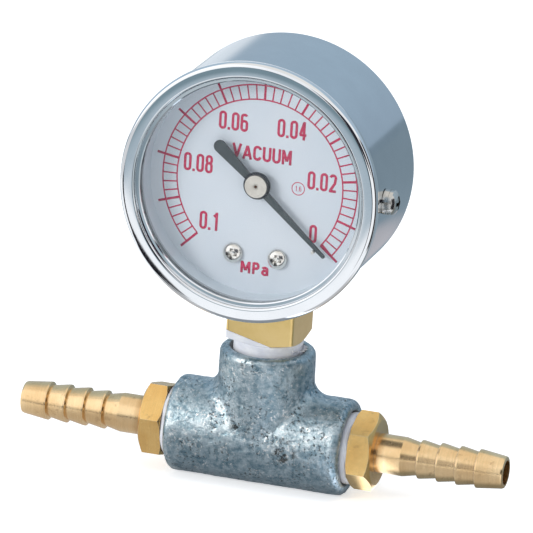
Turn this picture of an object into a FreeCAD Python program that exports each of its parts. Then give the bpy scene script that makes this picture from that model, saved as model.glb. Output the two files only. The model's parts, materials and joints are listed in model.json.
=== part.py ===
"""In-line vacuum gauge: a Bourdon-tube dial gauge on a pipe tee with two hose nipples.

Frame: origin where the tee's run axis meets its branch axis, +X along the run, +Z up the
branch, and the dial faces -Y. Everything is in millimetres and at its rest pose, which is
zero vacuum with the pointer against its stop pin.
"""

import FreeCAD, Part
import math
import os

V = FreeCAD.Vector
X_AXIS = V(1, 0, 0)
Y_AXIS = V(0, 1, 0)
Z_AXIS = V(0, 0, 1)
ORIGIN = V(0, 0, 0)

# ---------------------------------------------------------------- driving dimensions
# Pipe tee, 3/8 inch malleable iron
TEE_RUN_R = 11.85
TEE_BRANCH_R = 11.7
TEE_HALF_LENGTH = 22.3
TEE_BRANCH_TOP = 22.65
TEE_BLEND_R = 4.0
TEE_END_ROUND = 1.6
TEE_WATERWAY_R = 7.6
THREAD_DEPTH = 11.2
MOUTH_CHAMFER = 0.8

# R 3/8 taper threads, drawn as plain cylinders with the sealing tape round them
THREAD_R = 8.2
TAPE_R = 8.6
THREAD_LEAD_IN = 0.6
RUN_TAPE_START = 1.5
BRANCH_TAPE_START = 1.8

# Hose nipples for 8 mm hose
WRENCH_SIZE = 17.0
HEX_START = 23.7
HEX_END = 29.6
HEX_TURN = {"left": 16.0, "right": -9.0}
HEX_CHAMFER_RISE = 0.9
HEX_CHAMFER_ANGLE = math.radians(30)
NIPPLE_INNER_END = 12.0
SHANK_R = 4.83
SHANK_END = 36.1
BARB_CREST_R = 4.75
BARB_ROOT_R = 4.0
BARB_FIRST = 40.2
BARB_PITCH = 4.87
BARB_COUNT = 4
BARB_LAND = 0.4
BARB_BEVEL = 0.3
NIPPLE_TIP = 61.6
TIP_ROUND = 0.5
PASSAGE_R = 3.0

# Gauge head: its axis is parallel to Y through (0, 0, GAUGE_Z)
GAUGE_Z = 68.0
CASE_R = 31.15
CASE_WALL = 0.8
CASE_FRONT = -23.4
CASE_BACK = 10.0
CASE_EDGE_ROUND = 1.2
CASE_SLOT_REACH = 7.0
BEZEL_R = 32.05
BEZEL_FRONT = -25.2
BEZEL_REAR = -22.0
BEZEL_OPENING_R = 27.25
# Bezel outline, from its rear outer corner inwards: (radius, distance behind BEZEL_FRONT)
BEZEL_BEAD_START_R = 31.7
BEZEL_BEAD = ((BEZEL_R, 1.7), (31.5, 0.5))
BEZEL_CREST = ((31.0, 0.05), (30.3, 0.03))
BEZEL_FACE = ((29.2, 0.32), (28.3, 0.95))
BEZEL_STEP = (28.15, 1.25)
BEZEL_LIP = ((27.5, 1.3), (BEZEL_OPENING_R, 1.5))
WINDOW_R = 30.2
WINDOW_THICK = 2.0
GASKET_THICK = 0.8
SPACER_R = 30.25
SPACER_INNER_R = 27.5
SPACER_REAR = -12.0
SKIRT_GAP = 0.05
DIAL_R = 28.1
DIAL_FRONT = -15.3
DIAL_THICK = 0.6
DIAL_HOLE_R = 2.2

# Socket: square block under the case, stem below it and carrier block inside the case
SOCKET_BOTTOM = 25.1
SOCKET_CHAMFER_R = 8.3
SOCKET_CHAMFER_ANGLE = math.radians(18)
SOCKET_TOP = 40.5
SOCKET_EDGE_ROUND = 0.8
SOCKET_SLOT_GAP = 0.1
STEM_END = 12.5
STEM_BORE_R = 2.0
CARRIER_HALF_WIDTH = 8.0
CARRIER_FRONT = -5.0
CARRIER_TOP = 54.0
STEM_BORE_TOP = 49.2
CROSS_BORE_R = 0.8
CROSS_BORE_OVERLAP = 0.1

# Screws: head radius, head height, shank radius, length under the head
DIAL_SCREW = (2.4, 1.7, 1.25, 3.7)
SIDE_SCREW = (3.0, 2.1, 1.5, 3.85)
CASE_SCREW = (2.8, 1.9, 1.5, 6.0)
PILLAR_SCREW = (1.5, 0.9, 0.8, 3.0)
PLATE_SCREW = (1.9, 1.5, 1.0, 4.5)
# Shares of the head radius or head height that shape every screw head
SCREW_EDGE_SHARE = 0.45
SCREW_CROWN_SHARE = (0.72, 0.68)
RECESS_HALF_WIDTH_SHARE = 0.16
RECESS_REACH_SHARE = 0.58
RECESS_DEPTH_SHARE = 0.55
SCREW_TIP_CHAMFER_SHARE = 0.3
DIAL_SCREW_X = 5.6
DIAL_SCREW_Z = 49.95
DIAL_POST_R = 2.2
SIDE_SCREW_Y = -14.9
SIDE_WASHER_R = 3.1
SIDE_WASHER_THICK = 1.3
SIDE_HOLE_R = 1.6
CASE_SCREW_X = 5.0
CASE_SCREW_Z = 46.0

# Bourdon tube: flattened tube bent to an arc about the gauge axis
TUBE_R = 20.0
TUBE_HALF_WIDTH = 3.5
TUBE_HALF_THICK = 1.3
TUBE_WALL = 0.4
TUBE_TIP_ANGLE = -20.0
TUBE_ROOT_ANGLE = 260.8
END_PIECE_SPAN = 8.5
END_PIECE_HALF_THICK = 1.8
END_PIECE_HALF_WIDTH = 3.3
LUG_ANGLE = -25.0
LUG_R = 1.5
LUG_RADIUS_OF_AXIS = 18.9
LUG_FRONT = -6.9

# Movement: two plates across the gauge axis with the gears between them
PLATE_HALF_WIDTH = 9.2
PLATE_BOTTOM = 41.2
PLATE_TOP = 75.4
PLATE_CORNER = 3.0
PLATE_THICK = 1.0
FRONT_PLATE = -12.5
BACK_PLATE = -6.0
PILLAR_R = 1.6
PILLAR_SPIGOT_R = 1.0
PILLARS = [(-7.2, 45.9), (7.2, 45.9), (-7.0, 72.5), (7.0, 72.5)]
PLATE_SCREW_X = 2.8
PLATE_SCREW_Z = 43.6
ACCESS_HOLE_R = 2.2
RUNNING_GAP = 0.05

# Gears
GEAR_MODULE = 0.25
PRESSURE_ANGLE = math.radians(20)
PINION_TEETH = 12
SECTOR_TEETH_PER_TURN = 96
SECTOR_TEETH = 15
TOOTH_THINNING = 0.035
PINION_ADDENDUM = 0.25
SECTOR_ADDENDUM = 0.175
DEDENDUM = 0.3
PINION_Y = (-9.4, -6.8)
SECTOR_Y = (-8.6, -7.6)
SECTOR_HUB_R = 2.6
SECTOR_WINDOW = (4.6, 9.6)
SECTOR_MARGIN = 5.0
SECTOR_TEETH_BEFORE_MESH = 2.5
SECTOR_ARBOR_R = 1.0
SECTOR_PIVOT_R = 0.6
TAIL_LENGTH = 6.0
TAIL_ANGLE = -37.0
TAIL_R = 1.3
ARBOR_R = 0.9
ARBOR_FRONT_R = 0.75
ARBOR_REAR_PIVOT_R = 0.5

# Link between the tube's end piece and the sector's tail
LINK_Y = (-7.55, -6.95)
LINK_EYE_R = 1.5
LINK_HALF_WIDTH = 0.9
LINK_PIN_R = 0.5
LINK_PIN_HEAD_R = 1.0
LINK_TAIL_HOLE_R = 0.55
LINK_OPEN_HOLE_R = 0.85
LINK_SIDE_PLAY = 0.1
TAIL_PIN_HEAD = 0.35
TIP_PIN_HEAD = 0.5
TIP_PIN_HEAD_R = 1.3
TIP_PIN_DEPTH = 1.5

# Hairspring
HAIRSPRING_Y = (-11.2, -10.2)
HAIRSPRING_INNER_R = 1.4
HAIRSPRING_OUTER_R = 4.6
HAIRSPRING_TURNS = 4.5
HAIRSPRING_THICK = 0.12
HAIRSPRING_STEP = 20
COLLET_R = 1.3
COLLET_OVERHANG = 0.1
STUD_R = 0.5
STUD_GAP = 0.05

# Pointer
POINTER_REST = -41.0
POINTER_FRONT = -17.6
POINTER_THICK = 0.4
POINTER_TIP = 23.5
POINTER_TAIL = 14.4
POINTER_TIP_HALF = 0.45
POINTER_WAIST_HALF = 0.95
POINTER_TAIL_HALF = 1.55
POINTER_DISC_R = 3.35
HUB_CAP_R = 2.9
HUB_CAP_FRONT = -18.5
HUB_BUSH_R = 1.4
HUB_BUSH_REAR = -16.4
HUB_CAP_ROUND = 0.25
STOP_PIN_R = 0.4
STOP_PIN_RADIUS_OF_AXIS = 20.65
STOP_PIN_FRONT = -18.4
STOP_PIN_GAP = 0.02
STOP_PIN_ROUND = 0.2

# Cutting shapes run this far past the surface they open
CUT_PAST = 5.0

# ---------------------------------------------------------------- derived sizes
HALF_WRENCH = WRENCH_SIZE / 2
HEX_CORNER_R = HALF_WRENCH / math.cos(math.radians(30))
CASE_INNER_R = CASE_R - CASE_WALL
CASE_BACK_INNER = CASE_BACK - CASE_WALL
WINDOW_REAR = CASE_FRONT + WINDOW_THICK
GASKET_REAR = WINDOW_REAR + GASKET_THICK
DIAL_REAR = DIAL_FRONT + DIAL_THICK
PINION_PITCH_R = GEAR_MODULE * PINION_TEETH / 2
SECTOR_PITCH_R = GEAR_MODULE * SECTOR_TEETH_PER_TURN / 2
SECTOR_Z = GAUGE_Z - PINION_PITCH_R - SECTOR_PITCH_R
SIDE_SCREW_TIP = CASE_R + SIDE_WASHER_THICK - SIDE_SCREW[3]


# ---------------------------------------------------------------- helpers
def rod(x, z, radius, y_from, y_to):
    """Round bar parallel to Y."""
    return Part.makeCylinder(radius, y_to - y_from, V(x, y_from, z), Y_AXIS)


def outline(start, steps):
    """Closed wire from start; each step is a point, or (middle, end) of an arc."""
    edges = []
    here = start
    for step in steps:
        if isinstance(step, tuple):
            edges.append(Part.Arc(here, step[0], step[1]).toShape())
            here = step[1]
        else:
            edges.append(Part.LineSegment(here, step).toShape())
            here = step
    if here.distanceToPoint(start) > 1e-7:
        edges.append(Part.LineSegment(here, start).toShape())
    return Part.Wire(edges)


def turned_about_y(start, steps):
    """Solid of revolution about the gauge axis from an outline given as (radius, y)."""
    def place(point):
        return V(point[0], point[1], GAUGE_Z)
    placed = [tuple(place(p) for p in s) if isinstance(s[0], tuple) else place(s) for s in steps]
    face = Part.Face(outline(place(start), placed))
    return face.revolve(V(0, 0, GAUGE_Z), Y_AXIS, 360)


def turned_about_x(points):
    """Solid of revolution about the run axis from (x, radius) corners."""
    corners = [V(x, 0, r) for x, r in points]
    face = Part.Face(Part.makePolygon(corners + corners[:1]))
    return face.revolve(ORIGIN, X_AXIS, 360)


def turned_about_z(points):
    """Solid of revolution about the branch axis from (radius, z) corners."""
    corners = [V(r, 0, z) for r, z in points]
    face = Part.Face(Part.makePolygon(corners + corners[:1]))
    return face.revolve(ORIGIN, Z_AXIS, 360)


def polar(radius, degrees, y=0.0, centre_z=GAUGE_Z):
    """Point at an angle seen from the front, counter-clockwise from +X."""
    a = math.radians(degrees)
    return V(radius * math.cos(a), y, centre_z + radius * math.sin(a))


def rounded_plate(half_width, z_from, z_to, corner, y_from, y_to):
    """Flat plate across Y with rounded corners."""
    box = Part.makeBox(2 * half_width, y_to - y_from, z_to - z_from, V(-half_width, y_from, z_from))
    across = [e for e in box.Edges if abs(e.tangentAt(e.FirstParameter).y) > 0.99]
    return box.makeFillet(corner, across)


def pan_screw(sizes, seat, direction):
    """Cross-recessed pan-head screw; seat is under the head, direction points out of the head."""
    head_r, head_h, shank_r, length = sizes
    edge = SCREW_EDGE_SHARE * head_h
    crown_r, crown_h = SCREW_CROWN_SHARE
    top = V(0, 0, head_h)
    shoulder = V(head_r, 0, edge)
    middle = V(crown_r * head_r, 0, edge + crown_h * (head_h - edge))
    half = outline(ORIGIN, [V(head_r, 0, 0), shoulder, (middle, top)])
    head = Part.Face(half).revolve(ORIGIN, Z_AXIS, 360)
    shank = Part.makeCylinder(shank_r, length, V(0, 0, -length))
    screw = head.fuse(shank)
    screw = screw.makeChamfer(SCREW_TIP_CHAMFER_SHARE * shank_r, [tip_edge(screw, -length)])
    slot_half = RECESS_HALF_WIDTH_SHARE * head_r
    reach = RECESS_REACH_SHARE * head_r
    depth = RECESS_DEPTH_SHARE * head_h
    for size in ((2 * reach, 2 * slot_half), (2 * slot_half, 2 * reach)):
        corner = V(-size[0] / 2, -size[1] / 2, head_h - depth)
        screw = screw.cut(Part.makeBox(size[0], size[1], depth + CUT_PAST, corner))
    screw.Placement = FreeCAD.Placement(seat, FreeCAD.Rotation(Z_AXIS, direction))
    return screw


def tip_edge(shape, z):
    """The round edge at the given height."""
    return [e for e in shape.Edges if e.BoundBox.ZLength < 1e-6 and abs(e.BoundBox.ZMin - z) < 1e-6][0]


# ---------------------------------------------------------------- pipe fittings
def pipe_tee():
    run = Part.makeCylinder(TEE_RUN_R, 2 * TEE_HALF_LENGTH, V(-TEE_HALF_LENGTH, 0, 0), X_AXIS)
    branch = Part.makeCylinder(TEE_BRANCH_R, TEE_BRANCH_TOP)
    body = run.fuse(branch).removeSplitter()
    saddle = [e for e in body.Edges if e.Curve.TypeId not in ("Part::GeomCircle", "Part::GeomLine")]
    body = body.makeFillet(TEE_BLEND_R, saddle)
    rims = [e for e in body.Edges if is_rim(e)]
    body = body.makeFillet(TEE_END_ROUND, rims)
    bores = [(X_AXIS, TEE_HALF_LENGTH), (V(-1, 0, 0), TEE_HALF_LENGTH), (Z_AXIS, TEE_BRANCH_TOP)]
    for direction, reach in bores:
        body = body.cut(Part.makeCylinder(TEE_WATERWAY_R, reach, ORIGIN, direction))
        thread_start = direction * (reach - THREAD_DEPTH)
        body = body.cut(Part.makeCylinder(TAPE_R, THREAD_DEPTH, thread_start, direction))
        mouth = direction * (reach - MOUTH_CHAMFER)
        flare = Part.makeCone(TAPE_R, TAPE_R + MOUTH_CHAMFER, MOUTH_CHAMFER, mouth, direction)
        body = body.cut(flare)
    return body


def is_rim(edge):
    """True for the outer round edge at one of the tee's three ends."""
    box = edge.BoundBox
    at_run_end = box.XLength < 1e-6 and abs(abs(box.XMin) - TEE_HALF_LENGTH) < 1e-6
    at_branch_end = box.ZLength < 1e-6 and abs(box.ZMin - TEE_BRANCH_TOP) < 1e-6
    return at_run_end or at_branch_end


def hexagon(turn):
    """Hexagonal collar of a nipple, chamfered at both faces."""
    corners = [
        V(HEX_START,
          -HEX_CORNER_R * math.sin(math.radians(turn + 60 * k)),
          HEX_CORNER_R * math.cos(math.radians(turn + 60 * k)))
        for k in range(7)
    ]
    prism = Part.Face(Part.makePolygon(corners)).extrude(X_AXIS * (HEX_END - HEX_START))
    fall = HEX_CHAMFER_RISE * math.tan(HEX_CHAMFER_ANGLE)
    shoulder = HEX_CORNER_R - HEX_CHAMFER_RISE
    blank = turned_about_x([
        (HEX_START, 0), (HEX_START, shoulder), (HEX_START + fall, HEX_CORNER_R),
        (HEX_END - 2 * fall, HEX_CORNER_R), (HEX_END, shoulder - HEX_CHAMFER_RISE), (HEX_END, 0),
    ])
    return prism.common(blank)


def hose_nipple(side):
    """Male-threaded hose nipple with a hexagon and four barbs."""
    outer = [
        (NIPPLE_INNER_END, PASSAGE_R), (NIPPLE_INNER_END, THREAD_R - THREAD_LEAD_IN),
        (NIPPLE_INNER_END + THREAD_LEAD_IN, THREAD_R), (HEX_START + 1, THREAD_R),
        (HEX_START + 1, SHANK_R), (SHANK_END, SHANK_R),
    ]
    for k in range(BARB_COUNT):
        crest = BARB_FIRST + k * BARB_PITCH
        outer += [
            (crest - BARB_BEVEL, BARB_ROOT_R), (crest, BARB_CREST_R), (crest + BARB_LAND, BARB_CREST_R),
        ]
    outer += [
        (NIPPLE_TIP - TIP_ROUND, BARB_ROOT_R),
        (NIPPLE_TIP - 0.3 * TIP_ROUND, BARB_ROOT_R - 0.3 * TIP_ROUND),
        (NIPPLE_TIP, BARB_ROOT_R - TIP_ROUND),
        (NIPPLE_TIP, PASSAGE_R),
    ]
    bar = turned_about_x(outer)
    passage = Part.makeCylinder(PASSAGE_R, HEX_END - HEX_START, V(HEX_START, 0, 0), X_AXIS)
    nipple = bar.fuse(hexagon(HEX_TURN[side]).cut(passage)).removeSplitter()
    return mirrored_to(side, nipple, HEX_TURN[side])


def mirrored_to(side, shape, turn):
    """The shape as built for the right-hand end, or turned round to the left-hand one."""
    if side == "right":
        return shape
    turned = shape.copy()
    turned.rotate(ORIGIN, X_AXIS, -2 * turn)
    turned.rotate(ORIGIN, Z_AXIS, 180)
    return turned


def thread_tape(side):
    """Sealing tape wound on a nipple's thread."""
    inner_end = TEE_HALF_LENGTH - THREAD_DEPTH + RUN_TAPE_START
    tape = turned_about_x([
        (inner_end, THREAD_R), (inner_end, TAPE_R), (HEX_START, TAPE_R), (HEX_START, THREAD_R),
    ])
    return mirrored_to(side, tape, 0)


def gauge_thread_tape():
    """Sealing tape wound on the gauge's stem."""
    inner_end = TEE_BRANCH_TOP - THREAD_DEPTH + BRANCH_TAPE_START
    return turned_about_z([
        (THREAD_R, inner_end), (TAPE_R, inner_end), (TAPE_R, SOCKET_BOTTOM), (THREAD_R, SOCKET_BOTTOM),
    ])


# ---------------------------------------------------------------- gauge head, fixed parts
def tube_section(margin, degrees):
    """Flattened tube section at an angle about the gauge axis, shrunk by margin all round."""
    thick = TUBE_HALF_THICK - margin
    flat = TUBE_HALF_WIDTH - margin - thick

    def at(offset, y):
        return polar(TUBE_R + offset, degrees, y)

    wire = outline(at(-thick, -flat), [
        (at(0, -flat - thick), at(thick, -flat)),
        at(thick, flat),
        (at(0, flat + thick), at(-thick, flat)),
    ])
    return Part.Face(wire)


def swept_tube(margin):
    """Tube section carried round from the tip to the root."""
    section = tube_section(margin, TUBE_TIP_ANGLE)
    return section.revolve(V(0, 0, GAUGE_Z), -Y_AXIS, TUBE_ROOT_ANGLE - TUBE_TIP_ANGLE)


def bourdon_tube():
    return swept_tube(0).cut(swept_tube(TUBE_WALL))


def gauge_socket():
    """Brass socket: threaded stem, wrench square and the carrier block inside the case."""
    square_low = V(-HALF_WRENCH, -HALF_WRENCH, SOCKET_BOTTOM)
    square = Part.makeBox(WRENCH_SIZE, WRENCH_SIZE, SOCKET_TOP - SOCKET_BOTTOM, square_low)
    upright = [e for e in square.Edges if abs(e.tangentAt(e.FirstParameter).z) > 0.99]
    square = square.makeFillet(SOCKET_EDGE_ROUND, upright)
    corner_r = HALF_WRENCH * math.sqrt(2)
    chamfer_top = SOCKET_BOTTOM + (corner_r - SOCKET_CHAMFER_R) * math.tan(SOCKET_CHAMFER_ANGLE)
    square = square.common(turned_about_z([
        (0, SOCKET_BOTTOM), (SOCKET_CHAMFER_R, SOCKET_BOTTOM), (corner_r, chamfer_top),
        (corner_r, SOCKET_TOP), (0, SOCKET_TOP),
    ]))
    stem = turned_about_z([
        (0, STEM_END), (THREAD_R - THREAD_LEAD_IN, STEM_END), (THREAD_R, STEM_END + THREAD_LEAD_IN),
        (THREAD_R, SOCKET_BOTTOM), (0, SOCKET_BOTTOM),
    ])
    carrier = Part.makeBox(
        2 * CARRIER_HALF_WIDTH, CASE_BACK_INNER - CARRIER_FRONT, CARRIER_TOP - SOCKET_TOP,
        V(-CARRIER_HALF_WIDTH, CARRIER_FRONT, SOCKET_TOP))
    body = square.fuse([stem, carrier]).removeSplitter()
    body = body.cut(Part.makeCylinder(STEM_BORE_R, STEM_BORE_TOP - STEM_END, V(0, 0, STEM_END)))
    body = body.cut(swept_tube(0))
    root = polar(TUBE_R, TUBE_ROOT_ANGLE)
    start = root - X_AXIS * CROSS_BORE_OVERLAP
    body = body.cut(Part.makeCylinder(CROSS_BORE_R, -start.x, start, X_AXIS))
    for x in (-CASE_SCREW_X, CASE_SCREW_X):
        body = body.cut(rod(x, CASE_SCREW_Z, CASE_SCREW[2], CASE_BACK - CASE_SCREW[3], CASE_BACK))
    for x in (-PLATE_SCREW_X, PLATE_SCREW_X):
        tip = BACK_PLATE + PLATE_SCREW[3]
        body = body.cut(rod(x, PLATE_SCREW_Z, PLATE_SCREW[2], CARRIER_FRONT, tip))
    return body


def case_shell():
    """Drawn steel cup, open at the front, with a square slot underneath for the socket."""
    bend = CASE_EDGE_ROUND * (1 - math.sqrt(0.5))
    inner_bend = 0.6 * CASE_EDGE_ROUND
    inner_mid = inner_bend * (1 - math.sqrt(0.5))
    inner_arc_mid = (CASE_INNER_R - inner_mid, CASE_BACK_INNER - inner_mid)
    shell = turned_about_y((0, CASE_BACK), [
        (CASE_R - CASE_EDGE_ROUND, CASE_BACK),
        ((CASE_R - bend, CASE_BACK - bend), (CASE_R, CASE_BACK - CASE_EDGE_ROUND)),
        (CASE_R, CASE_FRONT),
        (CASE_INNER_R, CASE_FRONT),
        (CASE_INNER_R, CASE_BACK_INNER - inner_bend),
        (inner_arc_mid, (CASE_INNER_R - inner_bend, CASE_BACK_INNER)),
        (0, CASE_BACK_INNER),
    ])
    half_slot = HALF_WRENCH + SOCKET_SLOT_GAP
    slot_low = V(-half_slot, -half_slot, GAUGE_Z - CASE_R - CUT_PAST)
    slot = Part.makeBox(2 * half_slot, 2 * half_slot, CUT_PAST + CASE_SLOT_REACH, slot_low)
    shell = shell.cut(slot)
    reach = CASE_R + CUT_PAST
    shell = shell.cut(Part.makeCylinder(SIDE_HOLE_R, 2 * reach, V(-reach, SIDE_SCREW_Y, GAUGE_Z), X_AXIS))
    for x in (-CASE_SCREW_X, CASE_SCREW_X):
        shell = shell.cut(rod(x, CASE_SCREW_Z, CASE_SCREW[2], CASE_BACK_INNER, CASE_BACK))
    return shell


def bezel_ring():
    """Rolled bezel: round outer bead, face sloping inwards and a thin lip over the window."""
    def at(pair):
        return (pair[0], BEZEL_FRONT + pair[1])
    arcs = [(at(middle), at(end)) for middle, end in (BEZEL_BEAD, BEZEL_CREST, BEZEL_FACE)]
    return turned_about_y((CASE_R, BEZEL_REAR), [
        (BEZEL_BEAD_START_R, BEZEL_REAR),
        *arcs,
        at(BEZEL_STEP),
        (at(BEZEL_LIP[0]), at(BEZEL_LIP[1])),
        (BEZEL_OPENING_R, CASE_FRONT),
        (CASE_R, CASE_FRONT),
    ])


def flat_ring(outer_r, inner_r, y_from, y_to):
    return rod(0, GAUGE_Z, outer_r, y_from, y_to).cut(rod(0, GAUGE_Z, inner_r, y_from, y_to))


def spacer_ring():
    """Ring between window gasket and dial; its skirt surrounds the dial's edge."""
    ring = flat_ring(SPACER_R, SPACER_INNER_R, GASKET_REAR, DIAL_FRONT)
    skirt = flat_ring(SPACER_R, DIAL_R + SKIRT_GAP, DIAL_FRONT, SPACER_REAR)
    ring = ring.fuse(skirt).removeSplitter()
    for sign in (-1, 1):
        start = V(sign * SIDE_SCREW_TIP, SIDE_SCREW_Y, GAUGE_Z)
        ring = ring.cut(Part.makeCylinder(SIDE_SCREW[2], CUT_PAST, start, X_AXIS * sign))
    return ring


def dial_plate():
    plate = flat_ring(DIAL_R, DIAL_HOLE_R, DIAL_FRONT, DIAL_REAR)
    for x in (-DIAL_SCREW_X, DIAL_SCREW_X):
        plate = plate.cut(rod(x, DIAL_SCREW_Z, DIAL_SCREW[2], DIAL_FRONT, DIAL_REAR))
    pin = stop_pin_place()
    return plate.cut(rod(pin.x, pin.z, STOP_PIN_R, DIAL_FRONT, DIAL_REAR))


def dial_posts():
    posts = []
    for x in (-DIAL_SCREW_X, DIAL_SCREW_X):
        post = rod(x, DIAL_SCREW_Z, DIAL_POST_R, DIAL_REAR, FRONT_PLATE)
        posts.append(post.cut(rod(x, DIAL_SCREW_Z, DIAL_SCREW[2], DIAL_REAR, FRONT_PLATE)))
    return Part.makeCompound(posts)


def dial_screws():
    return Part.makeCompound([
        pan_screw(DIAL_SCREW, V(x, DIAL_FRONT, DIAL_SCREW_Z), -Y_AXIS)
        for x in (-DIAL_SCREW_X, DIAL_SCREW_X)
    ])


def side_washers():
    washers = []
    for sign in (-1, 1):
        face = V(sign * CASE_R, SIDE_SCREW_Y, GAUGE_Z)
        ring = Part.makeCylinder(SIDE_WASHER_R, SIDE_WASHER_THICK, face, X_AXIS * sign)
        washers.append(ring.cut(Part.makeCylinder(SIDE_SCREW[2], SIDE_WASHER_THICK, face, X_AXIS * sign)))
    return Part.makeCompound(washers)


def side_screws():
    seat = CASE_R + SIDE_WASHER_THICK
    return Part.makeCompound([
        pan_screw(SIDE_SCREW, V(sign * seat, SIDE_SCREW_Y, GAUGE_Z), X_AXIS * sign)
        for sign in (-1, 1)
    ])


def case_screws():
    return Part.makeCompound([
        pan_screw(CASE_SCREW, V(x, CASE_BACK, CASE_SCREW_Z), Y_AXIS)
        for x in (-CASE_SCREW_X, CASE_SCREW_X)
    ])


def stop_pin_place():
    """Axis of the stop pin: it just touches the pointer's lower edge at rest."""
    along = STOP_PIN_RADIUS_OF_AXIS
    share = (along - POINTER_DISC_R) / (POINTER_TIP - POINTER_DISC_R)
    half_width = POINTER_WAIST_HALF + share * (POINTER_TIP_HALF - POINTER_WAIST_HALF)
    offset = half_width + STOP_PIN_R + STOP_PIN_GAP
    return polar(along, POINTER_REST - math.degrees(math.asin(offset / along)))


def stop_pin():
    place = stop_pin_place()
    pin = rod(place.x, place.z, STOP_PIN_R, STOP_PIN_FRONT, DIAL_REAR)
    front = [e for e in pin.Edges if e.BoundBox.YLength < 1e-6 and e.BoundBox.YMin < DIAL_FRONT]
    return pin.makeFillet(STOP_PIN_ROUND, front)


# ---------------------------------------------------------------- movement, fixed parts
def movement_plate(front):
    """One of the two movement plates, drilled for pivots, pillars and screws."""
    y_from = front
    y_to = front + PLATE_THICK
    plate = rounded_plate(PLATE_HALF_WIDTH, PLATE_BOTTOM, PLATE_TOP, PLATE_CORNER, y_from, y_to)
    is_front = front == FRONT_PLATE
    pinion_hole = (ARBOR_FRONT_R if is_front else ARBOR_REAR_PIVOT_R) + RUNNING_GAP
    holes = [(0, GAUGE_Z, pinion_hole), (0, SECTOR_Z, SECTOR_PIVOT_R + RUNNING_GAP)]
    holes += [(x, z, PILLAR_SCREW[2] if is_front else PILLAR_SPIGOT_R) for x, z in PILLARS]
    for sign in (-1, 1):
        mount_r = ACCESS_HOLE_R if is_front else PLATE_SCREW[2]
        holes.append((sign * PLATE_SCREW_X, PLATE_SCREW_Z, mount_r))
        if is_front:
            holes.append((sign * DIAL_SCREW_X, DIAL_SCREW_Z, DIAL_SCREW[2]))
    for x, z, radius in holes:
        plate = plate.cut(rod(x, z, radius, y_from, y_to))
    return plate


def movement_pillars():
    pillars = []
    for x, z in PILLARS:
        pillar = rod(x, z, PILLAR_R, FRONT_PLATE + PLATE_THICK, BACK_PLATE)
        pillar = pillar.fuse(rod(x, z, PILLAR_SPIGOT_R, BACK_PLATE, BACK_PLATE + PLATE_THICK))
        depth = FRONT_PLATE + PILLAR_SCREW[3]
        pillars.append(pillar.cut(rod(x, z, PILLAR_SCREW[2], FRONT_PLATE, depth)))
    return Part.makeCompound(pillars)


def movement_screws():
    return Part.makeCompound([pan_screw(PILLAR_SCREW, V(x, FRONT_PLATE, z), -Y_AXIS) for x, z in PILLARS])


def movement_mount_screws():
    return Part.makeCompound([
        pan_screw(PLATE_SCREW, V(x, BACK_PLATE, PLATE_SCREW_Z), -Y_AXIS)
        for x in (-PLATE_SCREW_X, PLATE_SCREW_X)
    ])


def hairspring():
    """Flat spiral from the collet out to its stud."""
    total = 360 * HAIRSPRING_TURNS
    growth = (HAIRSPRING_OUTER_R - HAIRSPRING_INNER_R) / total
    y_from, y_to = HAIRSPRING_Y
    steps = range(0, int(total) + 1, HAIRSPRING_STEP)
    sides = []
    for side in (-0.5, 0.5):
        points = [
            polar(HAIRSPRING_INNER_R + growth * a + side * HAIRSPRING_THICK, a, y_from) for a in steps
        ]
        curve = Part.BSplineCurve()
        curve.interpolate(points)
        sides.append((curve, points))
    (inner, inner_points), (outer, outer_points) = sides
    wire = Part.Wire([
        inner.toShape(), Part.LineSegment(inner_points[-1], outer_points[-1]).toShape(),
        outer.toShape(), Part.LineSegment(outer_points[0], inner_points[0]).toShape(),
    ])
    return Part.Face(wire).extrude(V(0, y_to - y_from, 0))


def hairspring_stud():
    radius = HAIRSPRING_OUTER_R + HAIRSPRING_THICK / 2 + STUD_R + STUD_GAP
    place = polar(radius, 360 * HAIRSPRING_TURNS)
    return rod(place.x, place.z, STUD_R, FRONT_PLATE + PLATE_THICK, HAIRSPRING_Y[1])


# ---------------------------------------------------------------- gears
def involute(angle):
    return math.tan(angle) - angle


def flank_points(teeth, tip_r, root_r, flank_steps=5):
    """(radius, half tooth angle) pairs from root to tip of one involute flank."""
    pitch_r = GEAR_MODULE * teeth / 2
    base_r = pitch_r * math.cos(PRESSURE_ANGLE)
    at_pitch = math.pi / (2 * teeth) - TOOTH_THINNING / (2 * pitch_r) + involute(PRESSURE_ANGLE)
    start_r = max(base_r, root_r)
    pairs = []
    if root_r < base_r:
        pairs.append((root_r, at_pitch))
    for k in range(flank_steps):
        r = start_r + (tip_r - start_r) * k / (flank_steps - 1)
        pairs.append((r, at_pitch - involute(math.acos(min(1.0, base_r / r)))))
    return pairs


def gear_face(teeth, addendum, centre_z, first_centre, count, y, closed):
    """Face bounded by count teeth; a sector closes through its centre."""
    pitch_r = GEAR_MODULE * teeth / 2
    tip_r = pitch_r + addendum
    root_r = pitch_r - DEDENDUM
    pitch_angle = 360.0 / teeth
    flank = flank_points(teeth, tip_r, root_r)

    def at(radius, degrees):
        return polar(radius, degrees, y, centre_z)

    points = []
    for k in range(count):
        centre = first_centre + k * pitch_angle
        points += [at(r, centre - math.degrees(half)) for r, half in flank]
        points.append(at(tip_r, centre))
        points += [at(r, centre + math.degrees(half)) for r, half in reversed(flank)]
        points.append(at(root_r, centre + pitch_angle / 2))
    if not closed:
        points.append(at(0, 0))
        points.append(at(root_r, first_centre - pitch_angle / 2))
    return Part.Face(Part.makePolygon(points + points[:1]))


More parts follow.
